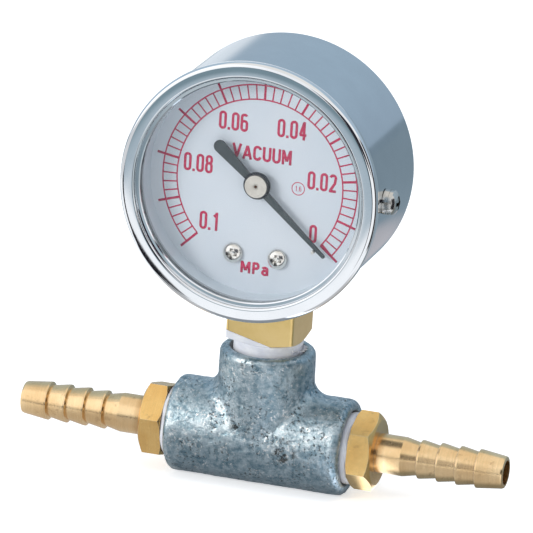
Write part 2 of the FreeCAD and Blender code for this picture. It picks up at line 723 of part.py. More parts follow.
def pinion_arbor():
    """Pointer arbor with the pinion cut on it; one tooth points down at rest."""
    y_from, y_to = PINION_Y
    face = gear_face(PINION_TEETH, PINION_ADDENDUM, GAUGE_Z, -90.0, PINION_TEETH, y_from, True)
    teeth = face.extrude(V(0, y_to - y_from, 0))
    front_shoulder = FRONT_PLATE + PLATE_THICK + RUNNING_GAP
    rear_shoulder = BACK_PLATE - RUNNING_GAP
    shaft = rod(0, GAUGE_Z, ARBOR_R, front_shoulder, rear_shoulder)
    nose = rod(0, GAUGE_Z, ARBOR_FRONT_R, HUB_CAP_FRONT + RUNNING_GAP, front_shoulder)
    pivot = rod(0, GAUGE_Z, ARBOR_REAR_PIVOT_R, rear_shoulder, BACK_PLATE + PLATE_THICK - RUNNING_GAP)
    return teeth.fuse([shaft, nose, pivot]).removeSplitter()


def tail_pin_place():
    a = math.radians(TAIL_ANGLE)
    return V(TAIL_LENGTH * math.cos(a), 0, SECTOR_Z + TAIL_LENGTH * math.sin(a))


def bar_between(start, end, half_width, y_from, y_to):
    """Straight flat bar from start to end, across Y."""
    along = V(end.x - start.x, 0, end.z - start.z)
    along.normalize()
    side = V(-along.z, 0, along.x) * half_width
    a = V(start.x, y_from, start.z)
    b = V(end.x, y_from, end.z)
    corners = [a + side, b + side, b - side, a - side]
    return Part.Face(Part.makePolygon(corners + corners[:1])).extrude(V(0, y_to - y_from, 0))


def sector_gear():
    """Toothed sector with a window, a hub and a tail arm for the link."""
    y_from, y_to = SECTOR_Y
    thick = V(0, y_to - y_from, 0)
    pitch_angle = 360.0 / SECTOR_TEETH_PER_TURN
    first = 90.0 - SECTOR_TEETH_BEFORE_MESH * pitch_angle
    face = gear_face(SECTOR_TEETH_PER_TURN, SECTOR_ADDENDUM, SECTOR_Z, first, SECTOR_TEETH, y_from, False)
    fan = face.extrude(thick)
    last = first + (SECTOR_TEETH - 1) * pitch_angle

    def at(radius, degrees):
        return polar(radius, degrees, y_from, SECTOR_Z)

    inner_r, outer_r = SECTOR_WINDOW
    low = first + SECTOR_MARGIN
    high = last - SECTOR_MARGIN
    middle = (low + high) / 2
    window = outline(at(inner_r, low), [
        at(outer_r, low), (at(outer_r, middle), at(outer_r, high)),
        at(inner_r, high), (at(inner_r, middle), at(inner_r, low)),
    ])
    fan = fan.cut(Part.Face(window).extrude(thick))
    tail = tail_pin_place()
    arm = bar_between(V(0, 0, SECTOR_Z), tail, TAIL_R, y_from, y_to)
    eye = rod(tail.x, tail.z, TAIL_R, y_from, y_to)
    body = rod(0, SECTOR_Z, SECTOR_HUB_R, y_from, y_to).fuse([fan, arm, eye]).removeSplitter()
    body = body.cut(rod(0, SECTOR_Z, SECTOR_ARBOR_R, y_from, y_to))
    return body.cut(rod(tail.x, tail.z, LINK_PIN_R, y_from, y_to))


def sector_arbor():
    front_shoulder = FRONT_PLATE + PLATE_THICK + RUNNING_GAP
    rear_shoulder = BACK_PLATE - RUNNING_GAP
    shaft = rod(0, SECTOR_Z, SECTOR_ARBOR_R, front_shoulder, rear_shoulder)
    end_to_end = rod(
        0, SECTOR_Z, SECTOR_PIVOT_R, FRONT_PLATE + RUNNING_GAP, BACK_PLATE + PLATE_THICK - RUNNING_GAP)
    return shaft.fuse(end_to_end).removeSplitter()


def hairspring_collet():
    ring_from = HAIRSPRING_Y[0] - COLLET_OVERHANG
    ring_to = HAIRSPRING_Y[1] + COLLET_OVERHANG
    ring = rod(0, GAUGE_Z, COLLET_R, ring_from, ring_to)
    return ring.cut(rod(0, GAUGE_Z, ARBOR_R, ring_from, ring_to))


# ---------------------------------------------------------------- link and tube end
def lug_place():
    return polar(LUG_RADIUS_OF_AXIS, LUG_ANGLE)


def link():
    """Flat link; its far eye is wide, because the tube's end travels a slightly flatter path."""
    lug = lug_place()
    tail = tail_pin_place()
    y_from, y_to = LINK_Y
    body = bar_between(tail, lug, LINK_HALF_WIDTH, y_from, y_to)
    eyes = [rod(lug.x, lug.z, LINK_EYE_R, y_from, y_to), rod(tail.x, tail.z, TAIL_R, y_from, y_to)]
    body = body.fuse(eyes).removeSplitter()
    body = body.cut(rod(lug.x, lug.z, LINK_OPEN_HOLE_R, y_from, y_to))
    return body.cut(rod(tail.x, tail.z, LINK_TAIL_HOLE_R, y_from, y_to))


def link_pin_tail():
    """Pin riveted in the sector's tail, with its head behind the link."""
    place = tail_pin_place()
    head_from = LINK_Y[1] + LINK_SIDE_PLAY
    shank = rod(place.x, place.z, LINK_PIN_R, SECTOR_Y[0], head_from)
    return shank.fuse(rod(place.x, place.z, LINK_PIN_HEAD_R, head_from, head_from + TAIL_PIN_HEAD))


def link_pin_tip():
    """Pin in the end piece's lug, with its head in front of the link."""
    place = lug_place()
    head_to = LINK_Y[0] - LINK_SIDE_PLAY
    shank = rod(place.x, place.z, LINK_PIN_R, head_to, LUG_FRONT + TIP_PIN_DEPTH)
    return shank.fuse(rod(place.x, place.z, TIP_PIN_HEAD_R, head_to - TIP_PIN_HEAD, head_to))


def tube_end_piece():
    """Closes the tube's free end and carries the lug for the link."""
    start = TUBE_TIP_ANGLE
    thick = END_PIECE_HALF_THICK
    wide = END_PIECE_HALF_WIDTH
    corners = [
        polar(TUBE_R - thick, start, -wide), polar(TUBE_R + thick, start, -wide),
        polar(TUBE_R + thick, start, wide), polar(TUBE_R - thick, start, wide),
    ]
    face = Part.Face(Part.makePolygon(corners + corners[:1]))
    block = face.revolve(V(0, 0, GAUGE_Z), Y_AXIS, END_PIECE_SPAN)
    place = lug_place()
    block = block.fuse(rod(place.x, place.z, LUG_R, LUG_FRONT, 0)).removeSplitter()
    return block.cut(rod(place.x, place.z, LINK_PIN_R, LUG_FRONT, LUG_FRONT + TIP_PIN_DEPTH))


# ---------------------------------------------------------------- pointer
def pointer():
    """Flat pointer drawn along +X, then turned to its rest angle."""
    y = POINTER_FRONT

    def at(x, z):
        return V(x, y, GAUGE_Z + z)

    waist = POINTER_WAIST_HALF
    tip = POINTER_TIP_HALF
    tail = POINTER_TAIL_HALF
    tail_centre = tail - POINTER_TAIL
    wire = outline(at(POINTER_DISC_R, -waist), [
        at(POINTER_TIP - tip, -tip),
        (at(POINTER_TIP, 0), at(POINTER_TIP - tip, tip)),
        at(POINTER_DISC_R, waist), at(-POINTER_DISC_R, waist),
        at(tail_centre, tail),
        (at(-POINTER_TAIL, 0), at(tail_centre, -tail)),
        at(-POINTER_DISC_R, -waist),
    ])
    blade = Part.Face(wire).extrude(V(0, POINTER_THICK, 0))
    disc = rod(0, GAUGE_Z, POINTER_DISC_R, y, y + POINTER_THICK)
    shape = blade.fuse(disc).removeSplitter().cut(rod(0, GAUGE_Z, HUB_BUSH_R, y, y + POINTER_THICK))
    shape.rotate(V(0, 0, GAUGE_Z), -Y_AXIS, POINTER_REST)
    return shape


def pointer_hub():
    """Cap and bush that press the pointer onto the arbor."""
    cap = rod(0, GAUGE_Z, HUB_CAP_R, HUB_CAP_FRONT, POINTER_FRONT)
    rim = [e for e in cap.Edges if e.BoundBox.YLength < 1e-6 and e.BoundBox.YMin < POINTER_FRONT - 0.1]
    cap = cap.makeFillet(HUB_CAP_ROUND, rim)
    hub = cap.fuse(rod(0, GAUGE_Z, HUB_BUSH_R, POINTER_FRONT, HUB_BUSH_REAR)).removeSplitter()
    return hub.cut(rod(0, GAUGE_Z, ARBOR_FRONT_R, HUB_CAP_FRONT, HUB_BUSH_REAR))


# ---------------------------------------------------------------- export
def main():
    os.makedirs("parts", exist_ok=True)
    nodes = {
        "pipe_tee": pipe_tee(),
        "hose_nipple_left": hose_nipple("left"),
        "hose_nipple_right": hose_nipple("right"),
        "thread_tape_left": thread_tape("left"),
        "thread_tape_right": thread_tape("right"),
        "thread_tape_gauge": gauge_thread_tape(),
        "gauge_socket": gauge_socket(),
        "case_shell": case_shell(),
        "bezel_ring": bezel_ring(),
        "window": rod(0, GAUGE_Z, WINDOW_R, CASE_FRONT, WINDOW_REAR),
        "window_gasket": flat_ring(WINDOW_R, SPACER_INNER_R, WINDOW_REAR, GASKET_REAR),
        "spacer_ring": spacer_ring(),
        "dial_plate": dial_plate(),
        "dial_posts": dial_posts(),
        "dial_screws": dial_screws(),
        "stop_pin": stop_pin(),
        "side_washers": side_washers(),
        "side_screws": side_screws(),
        "case_screws": case_screws(),
        "bourdon_tube": bourdon_tube(),
        "tube_end_piece": tube_end_piece(),
        "link": link(),
        "link_pin_tip": link_pin_tip(),
        "link_pin_tail": link_pin_tail(),
        "sector_gear": sector_gear(),
        "sector_arbor": sector_arbor(),
        "movement_front_plate": movement_plate(FRONT_PLATE),
        "movement_back_plate": movement_plate(BACK_PLATE),
        "movement_pillars": movement_pillars(),
        "movement_screws": movement_screws(),
        "movement_mount_screws": movement_mount_screws(),
        "pinion_arbor": pinion_arbor(),
        "hairspring_collet": hairspring_collet(),
        "hairspring": hairspring(),
        "hairspring_stud": hairspring_stud(),
        "pointer": pointer(),
        "pointer_hub": pointer_hub(),
    }
    for name, shape in nodes.items():
        shape.exportStep("parts/" + name + ".step")


main()
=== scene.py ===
"""Looks of the in-line vacuum gauge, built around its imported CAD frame."""

import json
import math

import bmesh
import bpy
from mathutils import Matrix, Vector, noise


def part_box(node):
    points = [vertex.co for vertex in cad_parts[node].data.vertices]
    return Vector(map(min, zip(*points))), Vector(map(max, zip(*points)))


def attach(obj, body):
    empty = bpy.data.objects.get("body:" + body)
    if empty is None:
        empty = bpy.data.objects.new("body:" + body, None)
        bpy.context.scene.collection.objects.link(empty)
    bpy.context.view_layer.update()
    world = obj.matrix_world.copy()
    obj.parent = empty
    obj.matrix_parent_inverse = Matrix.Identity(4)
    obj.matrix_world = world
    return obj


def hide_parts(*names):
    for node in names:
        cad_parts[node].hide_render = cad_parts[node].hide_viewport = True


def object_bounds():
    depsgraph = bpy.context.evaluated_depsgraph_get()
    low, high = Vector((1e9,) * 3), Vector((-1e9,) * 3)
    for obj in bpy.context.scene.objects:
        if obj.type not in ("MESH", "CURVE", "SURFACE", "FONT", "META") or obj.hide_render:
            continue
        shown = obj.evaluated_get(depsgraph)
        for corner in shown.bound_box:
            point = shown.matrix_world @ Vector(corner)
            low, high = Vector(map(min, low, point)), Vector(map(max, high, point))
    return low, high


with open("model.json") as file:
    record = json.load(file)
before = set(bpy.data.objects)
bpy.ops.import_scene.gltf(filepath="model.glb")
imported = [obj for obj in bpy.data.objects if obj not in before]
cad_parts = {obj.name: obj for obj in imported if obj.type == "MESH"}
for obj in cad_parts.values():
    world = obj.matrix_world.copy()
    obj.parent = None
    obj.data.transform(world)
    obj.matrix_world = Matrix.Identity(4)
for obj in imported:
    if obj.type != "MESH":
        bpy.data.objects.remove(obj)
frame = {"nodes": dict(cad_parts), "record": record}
nodes = frame["nodes"]
cad_low, cad_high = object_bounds()

MM = 0.001
TURN = 2 * math.pi
FIXED = "gauge_and_tee"
dial_low, dial_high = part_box("dial_plate")
gauge_z = (dial_low.z + dial_high.z) / 2
dial_y = dial_low.y
tee_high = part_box("pipe_tee")[1]


# ---------------------------------------------------------------- node helpers
class Nodes:
    """Helpers that add nodes to a tree and return their output sockets."""

    def __init__(self, tree, coordinates):
        self.tree = tree
        self.tree.nodes.clear()
        self.place = self.add("ShaderNodeTexCoord").outputs[coordinates]

    def add(self, kind, inputs=None, **settings):
        made = self.tree.nodes.new(kind)
        for key, value in settings.items():
            setattr(made, key, value)
        for key, value in (inputs or {}).items():
            if isinstance(value, bpy.types.NodeSocket):
                self.tree.links.new(value, made.inputs[key])
            else:
                made.inputs[key].default_value = value
        return made

    def math(self, operation, a, b=0.0):
        return self.add("ShaderNodeMath", {0: a, 1: b}, operation=operation).outputs[0]

    def plus(self, a, b):
        return self.math("ADD", a, b)

    def minus(self, a, b):
        return self.math("SUBTRACT", a, b)

    def times(self, a, b):
        return self.math("MULTIPLY", a, b)

    def most(self, a, b):
        return self.math("MAXIMUM", a, b)

    def absolute(self, a):
        return self.math("ABSOLUTE", a)

    def split(self):
        """The place's x, y and z."""
        made = self.add("ShaderNodeSeparateXYZ", {0: self.place})
        return made.outputs[0], made.outputs[1], made.outputs[2]

    def stretch(self, scale):
        """The place, multiplied per axis."""
        return self.add("ShaderNodeMapping", {"Vector": self.place, "Scale": scale}).outputs[0]

    def noise(self, scale, detail=4.0, rough=0.55, vector=None):
        return self.add("ShaderNodeTexNoise", {
            "Vector": vector or self.place, "Scale": scale, "Detail": detail,
            "Roughness": rough}).outputs[0]

    def step(self, value, low, high, to_low=0.0, to_high=1.0):
        """Smooth step of value between low and high."""
        return self.add("ShaderNodeMapRange", {
            "Value": value, "From Min": low, "From Max": high, "To Min": to_low,
            "To Max": to_high}, interpolation_type="SMOOTHSTEP").outputs[0]

    def between(self, value, low, high, soft):
        """1 between low and high, with edges as wide as soft."""
        return self.times(self.step(value, low - soft / 2, low + soft / 2),
                          self.step(value, high - soft / 2, high + soft / 2, 1.0, 0.0))

    def mix(self, factor, a, b):
        """Colour a where factor is 0, b where it is 1."""
        made = self.add("ShaderNodeMix", data_type="RGBA")
        for index, value in ((0, factor), (6, a), (7, b)):
            if isinstance(value, bpy.types.NodeSocket):
                self.tree.links.new(value, made.inputs[index])
            else:
                made.inputs[index].default_value = (*value, 1.0)
        return made.outputs[2]

    def over(self, base, mask, share, colour):
        """The base with a colour laid over it where mask is 1, as strongly as share says."""
        return self.mix(self.times(mask, share), base, colour)


class Surface(Nodes):
    """One procedural material, in its object's coordinates, which are metres."""

    def __init__(self, name):
        self.material = bpy.data.materials.new(name)
        self.material.use_nodes = True
        super().__init__(self.material.node_tree, "Object")

    def bump(self, height, depth, strength):
        """Normal of a relief that stands depth mm high."""
        return self.add("ShaderNodeBump", {
            "Height": height, "Distance": depth * MM, "Strength": strength}).outputs[0]

    def finish(self, color, rough, metal=0.0, normal=None, **extra):
        inputs = {"Base Color": color, "Roughness": rough, "Metallic": metal}
        if not isinstance(color, bpy.types.NodeSocket):
            inputs["Base Color"] = (*color, 1.0)
        if normal is not None:
            inputs["Normal"] = normal
        inputs.update({key.replace("_", " "): value for key, value in extra.items()})
        shader = self.add("ShaderNodeBsdfPrincipled", inputs)
        self.add("ShaderNodeOutputMaterial", {"Surface": shader.outputs[0]})
        return self.material


def edge_mask(s, radius=0.18 * MM):
    """1 on edges, 0 on flats: how far a rounded normal leans away from the true one."""
    soft = s.add("ShaderNodeBevel", {"Radius": radius}, samples=6).outputs[0]
    true = s.add("ShaderNodeNewGeometry").outputs["Normal"]
    agree = s.add("ShaderNodeVectorMath", {0: soft, 1: true}, operation="DOT_PRODUCT")
    return s.step(agree.outputs["Value"], 0.985, 0.90)


def recess(s, reach, low, high):
    """1 deep in a slot or a bore, 0 on open faces, read from ambient occlusion; callers paint shade
    with it.
    """
    shade = s.add("ShaderNodeAmbientOcclusion", {"Distance": reach}, samples=8).outputs["AO"]
    return s.step(shade, low, high, 1.0, 0.0)


def from_axis(s, a, b):
    """Distance from an axis, where a and b lie across it."""
    return s.math("SQRT", s.plus(s.math("POWER", a, 2.0), s.math("POWER", b, 2.0)))


def from_gauge_axis(s):
    x, _, z = s.split()
    return from_axis(s, x, s.minus(z, gauge_z))


def near_any(s, patches):
    """1 at the middle of the nearest patch, 0 beyond its reach; places and reaches in mm."""
    most = 0.0
    for centre, reach in patches:
        place = tuple(c * MM for c in centre)
        away = s.add("ShaderNodeVectorMath", {0: s.place, 1: place}, operation="DISTANCE")
        full = 0.45 * reach
        most = s.most(s.step(away.outputs["Value"], reach * MM, full * MM), most)
    return most


# ---------------------------------------------------------------- materials
DROSS_PATCHES = (((-1.3, -11.6, 20.2), 2.6), ((-2.5, -10.6, 5.3), 3.6), ((8.9, -11.9, 0.0), 4.2))
MOUTH_RIM = 9.55 * MM
HEXAGON_FACE = 30.4 * MM
BARREL_R = 5.0 * MM
BEZEL_LIP_R = 28.9 * MM
LIP_FADE = 12 * MM
SIDE_SCREWS_FROM = 22 * MM
POINTER_DISC_R = 3.55 * MM
CAP_R = 2.8 * MM
ARBOR_END_R = 1.2 * MM
ARBOR_END_Y = -18.0 * MM


def tee_mouth(s, a, b, along, end):
    """1 just inside the mouth of one arm of the tee; a and b lie across the arm."""
    inside = s.step(from_axis(s, a, b), MOUTH_RIM, MOUTH_RIM - 0.25 * MM)
    return s.times(inside, s.step(along, end - 1.6 * MM, end - 1.2 * MM))


def galvanised():
    """Hot-dip zinc on rough cast iron: blue-grey mottle, bright flecks, dark pits, and painted
    shade inside the mouths and towards the underside.
    """
    s = Surface("galvanised_iron_look")
    x, y, z = s.split()
    clouds = s.noise(120, 4, 0.6)
    mottle = s.noise(520, 6, 0.72)
    speck = s.noise(1500, 4, 0.7)
    base = s.mix(s.step(mottle, 0.34, 0.66), (0.15, 0.25, 0.31), (0.48, 0.58, 0.63))
    base = s.over(base, s.step(clouds, 0.42, 0.62), 0.30, (0.36, 0.47, 0.53))
    flecks = s.times(s.step(speck, 0.54, 0.66), s.step(s.noise(210, 4, 0.65), 0.40, 0.60))
    base = s.over(base, flecks, 0.85, (0.92, 0.91, 0.89))
    pits = s.times(s.step(s.noise(1450, 4, 0.66), 0.555, 0.61), s.step(s.noise(170, 3), 0.42, 0.60))
    dross = s.times(s.step(s.noise(650, 5, 0.74), 0.50, 0.57), near_any(s, DROSS_PATCHES))
    dirt = s.most(s.times(pits, 0.85), dross)
    base = s.over(base, dirt, 0.88, (0.035, 0.035, 0.032))
    # Painted shade: darker towards the bottom of the casting.
    underside = s.step(z, -11.5 * MM, -5.0 * MM, 1.0, 0.0)
    base = s.over(base, underside, 0.45, (0.05, 0.08, 0.10))
    # Painted shade: just inside the mouths, in the gap by the tape, near black and hardly metallic.
    mouth = s.most(tee_mouth(s, x, y, z, tee_high.z),
                   tee_mouth(s, y, z, s.absolute(x), tee_high.x))
    base = s.over(base, mouth, 0.92, (0.055, 0.048, 0.040))
    relief = s.minus(s.plus(speck, s.times(mottle, 1.4)), dirt)
    rough = s.plus(s.times(mottle, 0.22), s.times(dirt, 0.3))
    metal = s.minus(0.85, s.times(mouth, 0.8))
    return s.finish(base, s.plus(rough, 0.20), metal, s.bump(relief, 0.11, 1.0))


def turned_brass():
    """Nipples: champagne barbs with fine lathe lines, yellower hexagons, brown where they meet."""
    s = Surface("nipple_brass_look")
    x, y, z = s.split()
    lines = s.noise(1.0, 3, 0.7, s.stretch((5200, 90, 90)))
    blotch = s.step(s.noise(140, 4, 0.6), 0.3, 0.7)
    grain = s.noise(1300, 3, 0.7)
    stain = s.step(s.noise(420, 5, 0.7), 0.56, 0.72)
    barb = s.mix(blotch, (0.84, 0.58, 0.30), (0.95, 0.71, 0.41))
    hexagon = s.mix(blotch, (0.86, 0.53, 0.18), (0.95, 0.64, 0.25))
    out = s.absolute(x)
    in_hexagon = s.times(s.step(out, HEXAGON_FACE, HEXAGON_FACE - 0.3 * MM),
                         s.step(from_axis(s, y, z), BARREL_R, BARREL_R + 0.2 * MM))
    base = s.mix(in_hexagon, barb, hexagon)
    neck = s.absolute(s.minus(out, HEXAGON_FACE + 0.2 * MM))
    base = s.over(base, s.step(neck, 1.7 * MM, 0.2 * MM), 0.45, (0.50, 0.27, 0.09))
    base = s.over(base, stain, 0.35, (0.30, 0.17, 0.08))
    base = s.over(base, s.step(lines, 0.35, 0.65), 0.14, (0.46, 0.31, 0.16))
    base = s.over(base, edge_mask(s), 0.75, (0.96, 0.84, 0.62))
    # Painted shade, dark brown, in recesses and close to neighbouring parts.
    base = s.mix(recess(s, 1.4 * MM, 0.25, 0.70), base, (0.13, 0.055, 0.03))
    rough = s.plus(s.times(grain, 0.12), 0.19)
    relief = s.plus(lines, s.times(grain, 0.6))
    return s.finish(base, rough, 1.0, s.bump(relief, 0.014, 0.6))


def milled_brass():
    """Socket block: yellow brass, milled across."""
    s = Surface("socket_brass_look")
    lines = s.noise(1.0, 3, 0.7, s.stretch((140, 140, 5200)))
    blotch = s.noise(120, 4, 0.6)
    stain = s.step(s.noise(380, 5, 0.7), 0.60, 0.74)
    base = s.mix(s.step(blotch, 0.3, 0.7), (0.86, 0.62, 0.24), (0.94, 0.70, 0.31))
    base = s.over(base, stain, 0.25, (0.42, 0.25, 0.09))
    base = s.over(base, edge_mask(s), 0.5, (0.95, 0.74, 0.36))
    rough = s.plus(s.times(lines, 0.14), 0.27)
    return s.finish(base, rough, 1.0, s.bump(lines, 0.02, 0.6))


def chrome(name, tint, rough, lip):
    """Bright plating with faint waves, hairlines and dust; lip says how strongly the inner lip is
    darkened along its upper part, a painted shade.
    """
    s = Surface(name)
    waves = s.noise(45, 2, 0.5)
    hair = s.noise(1.0, 2, 0.6, s.stretch((2600, 90, 2600)))
    dust = s.step(s.noise(1500, 3, 0.7), 0.66, 0.78)
    smear = s.noise(110, 5, 0.6)
    bright = tuple(min(1.0, c * 1.06) for c in tint)
    base = s.over(s.mix(s.step(smear, 0.3, 0.75), tint, bright), dust, 0.16, (0.74, 0.73, 0.70))
    _, _, z = s.split()
    # Painted shade: the inner lip darker along the top, fading out from the gauge's middle to 12 mm
    # below it.
    lip_shade = s.times(s.step(from_gauge_axis(s), BEZEL_LIP_R, BEZEL_LIP_R - 0.3 * MM),
                   s.step(z, gauge_z - LIP_FADE, gauge_z))
    base = s.over(base, lip_shade, lip, (0.30, 0.36, 0.39))
    uneven = s.plus(s.times(smear, 0.07), s.times(dust, 0.18))
    relief = s.plus(s.times(hair, 0.10), waves)
    return s.finish(base, s.plus(uneven, rough), 1.0, s.bump(relief, 0.01, 0.25))


def nickel(name, tint, rough):
    """Nickel plate with flecks of grime, painted shade in the recesses, and darker on the case's
    sides than on the dial.
    """
    s = Surface(name)
    blotch = s.noise(700, 4, 0.65)
    grime = s.step(s.noise(1100, 4, 0.7), 0.58, 0.74)
    base = s.mix(s.step(blotch, 0.3, 0.7), tuple(c * 0.9 for c in tint), tint)
    base = s.over(base, grime, 0.15, (0.30, 0.25, 0.18))
    x, _, _ = s.split()
    on_dial = s.step(s.absolute(x), SIDE_SCREWS_FROM, SIDE_SCREWS_FROM - 2 * MM)
    base = s.over(base, s.minus(1.0, on_dial), 0.4, (0.26, 0.27, 0.28))
    # Painted shade in the recesses, read from ambient occlusion; stronger on the dial's screws than
    # on the side screws.
    deep = s.plus(s.times(on_dial, 0.4), 0.55)
    base = s.over(base, recess(s, 0.7 * MM, 0.50, 0.78), deep, (0.085, 0.075, 0.065))
    rough = s.plus(s.times(blotch, 0.12), rough)
    return s.finish(base, rough, 1.0, s.bump(blotch, 0.02, 0.5))


def tape():
    """Sealing tape: soft white film with wrinkles along its turns."""
    s = Surface("ptfe_tape_look")
    wrinkle = s.noise(1.0, 4, 0.6, s.stretch((420, 420, 2400)))
    cloud = s.noise(260, 3, 0.6)
    base = s.mix(s.step(cloud, 0.3, 0.75), (0.78, 0.80, 0.87), (0.93, 0.94, 0.97))
    base = s.over(base, s.step(wrinkle, 0.55, 0.8), 0.2, (0.62, 0.65, 0.76))
    return s.finish(base, 0.42, 0.0, s.bump(wrinkle, 0.12, 0.6), Subsurface_Weight=0.15,
                    Subsurface_Radius=(0.001, 0.001, 0.0012), Subsurface_Scale=0.4)


def dial_paint():
    """Cool white enamel, faintly clouded."""
    s = Surface("dial_paint_look")
    fine = s.noise(2200, 3, 0.6)
    cloud = s.noise(60, 3, 0.5)
    base = s.mix(s.step(cloud, 0.3, 0.7), (0.645, 0.705, 0.765), (0.685, 0.735, 0.785))
    base = s.over(base, s.step(fine, 0.55, 0.75), 0.10, (0.56, 0.60, 0.66))
    rough = s.plus(s.times(fine, 0.15), 0.38)
    return s.finish(base, rough, 0.0, s.bump(fine, 0.01, 0.3))


def print_ink():
    """Crimson ink of the dial's print."""
    s = Surface("dial_print_look")
    worn = s.noise(1600, 4, 0.65)
    base = s.mix(s.step(worn, 0.35, 0.75), (0.50, 0.008, 0.070), (0.60, 0.022, 0.105))
    rough = s.plus(s.times(worn, 0.2), 0.35)
    return s.finish(base, rough, 0.0, s.bump(worn, 0.01, 0.3))


def pointer_paint():
    """Satin charcoal with painted shade along its edges and a dark disc under the cap."""
    s = Surface("pointer_paint_look")
    fine = s.noise(1800, 4, 0.6)
    base = s.mix(s.step(fine, 0.3, 0.7), (0.042, 0.056, 0.062), (0.060, 0.077, 0.084))
    # Painted shade along the pointer's edges.
    base = s.over(base, edge_mask(s, 0.22 * MM), 0.85, (0.010, 0.016, 0.026))
    disc = s.step(from_gauge_axis(s), POINTER_DISC_R, POINTER_DISC_R - 0.2 * MM)
    base = s.mix(disc, base, (0.012, 0.018, 0.028))
    rough = s.plus(s.times(fine, 0.15), 0.34)
    return s.finish(base, rough, 0.1, s.bump(fine, 0.01, 0.4), Specular_IOR_Level=0.3)


def hub_metal():
    """Turned aluminium face: rings about the gauge axis, a dark rim and a dark core."""
    s = Surface("hub_metal_look")
    radius = from_gauge_axis(s)
    ring_spacing = 0.12 * MM
    rings = s.math("SINE", s.times(radius, TURN / ring_spacing))
    grain = s.noise(900, 4, 0.6)
    base = s.mix(s.step(grain, 0.3, 0.7), (0.64, 0.60, 0.53), (0.76, 0.72, 0.645))
    core = s.step(radius, 0.28 * MM, 0.55 * MM, 1.0, 0.0)
    base = s.over(base, core, 0.9, (0.13, 0.05, 0.02))
    rim = s.step(radius, CAP_R - 0.12 * MM, CAP_R)
    base = s.over(base, rim, 0.95, (0.014, 0.018, 0.026))
    return s.finish(base, 0.42, 0.35, s.bump(rings, 0.004, 0.4))


def ring_paint():
    """Spacer ring: pale blue-grey lacquer on metal."""
    s = Surface("ring_paint_look")
    fine = s.noise(1300, 4, 0.6)
    cloud = s.noise(90, 3, 0.5)
    base = s.mix(s.step(cloud, 0.3, 0.7), (0.66, 0.73, 0.775), (0.72, 0.78, 0.82))
    rough = s.plus(s.times(fine, 0.2), 0.28)
    return s.finish(base, rough, 0.25, s.bump(fine, 0.02, 0.4))


def rubber():
    """Pale grey silicone seal."""
    s = Surface("gasket_look")
    fine = s.noise(1500, 4, 0.6)
    base = s.mix(fine, (0.34, 0.38, 0.41), (0.46, 0.50, 0.53))
    return s.finish(base, 0.6, 0.0, s.bump(fine, 0.04, 0.6))


def glass():
    """Clear window with a faint veil of dust on it, nothing more."""
    s = Surface("window_look")
    veil = s.noise(70, 4, 0.6)
    specks = s.step(s.noise(2400, 2, 0.6), 0.70, 0.80)
    alpha = s.plus(s.times(specks, 0.05), s.times(veil, 0.03))
    s.material.surface_render_method = "BLENDED"
    return s.finish((0.90, 0.95, 0.98), 0.06, Alpha=s.plus(alpha, 0.01))


def bronze():
    """Bourdon tube: reddish bronze."""
    s = Surface("tube_bronze_look")
    grain = s.noise(500, 5, 0.6)
    base = s.mix(s.step(grain, 0.3, 0.7), (0.50, 0.27, 0.12), (0.66, 0.40, 0.20))
    rough = s.plus(s.times(grain, 0.2), 0.25)
    return s.finish(base, rough, 1.0, s.bump(grain, 0.03, 0.5))


def stamped_brass():
    """Plates and gears of the movement: brushed brass with bright edges."""
    s = Surface("movement_brass_look")
    brush = s.noise(1.0, 3, 0.7, s.stretch((250, 250, 4200)))
    grain = s.noise(420, 4, 0.6)
    base = s.mix(s.step(grain, 0.3, 0.7), (0.66, 0.47, 0.18), (0.82, 0.62, 0.28))
    base = s.over(base, edge_mask(s), 0.5, (0.95, 0.80, 0.50))
    rough = s.plus(s.times(brush, 0.2), 0.22)
    return s.finish(base, rough, 1.0, s.bump(brush, 0.02, 0.5))


def turned_steel():
    """Arbors; the pinion's end shows as a cream dot with a dark centre in the cap."""
    s = Surface("arbor_steel_look")
    lines = s.noise(1.0, 3, 0.7, s.stretch((300, 6000, 300)))
    base = s.mix(lines, (0.36, 0.37, 0.39), (0.58, 0.59, 0.61))
    _, y, _ = s.split()
    radius = from_gauge_axis(s)
    end = s.times(s.step(y, ARBOR_END_Y + 0.2 * MM, ARBOR_END_Y),
                  s.step(radius, ARBOR_END_R, ARBOR_END_R - 0.1 * MM))
    dot = s.mix(s.step(radius, 0.50 * MM, 0.28 * MM), (0.72, 0.66, 0.57), (0.12, 0.045, 0.02))
    base = s.mix(end, base, dot)
    rough = s.plus(s.times(lines, 0.2), 0.2)
    return s.finish(base, rough, 1.0, s.bump(lines, 0.01, 0.5))


LOOKS = {
    "galvanised_iron": galvanised(),
    "nipple_brass": turned_brass(),
    "socket_brass": milled_brass(),
    "ptfe_tape": tape(),
    "case_chrome": chrome("case_chrome_look", (0.56, 0.60, 0.635), rough=0.07, lip=0.0),
    "bezel_chrome": chrome("bezel_chrome_look", (0.77, 0.79, 0.81), rough=0.02, lip=0.8),
    "window_glass": glass(),
    "gasket_rubber": rubber(),
    "ring_paint": ring_paint(),
    "dial_paint": dial_paint(),
    "screw_nickel": nickel("screw_nickel_look", (0.86, 0.84, 0.79), rough=0.12),
    "pin_brass": nickel("stop_pin_look", (0.95, 0.93, 0.86), rough=0.3),
    "tube_bronze": bronze(),
    "movement_brass": stamped_brass(),
    "arbor_steel": turned_steel(),
    "pointer_paint": pointer_paint(),
    "hub_nickel": hub_metal(),
}
INK = print_ink()
for part in frame["record"]["subparts"]:
    mesh = nodes[part["node"]].data
    mesh.materials.clear()
    mesh.materials.append(LOOKS[part["material_slot"]])


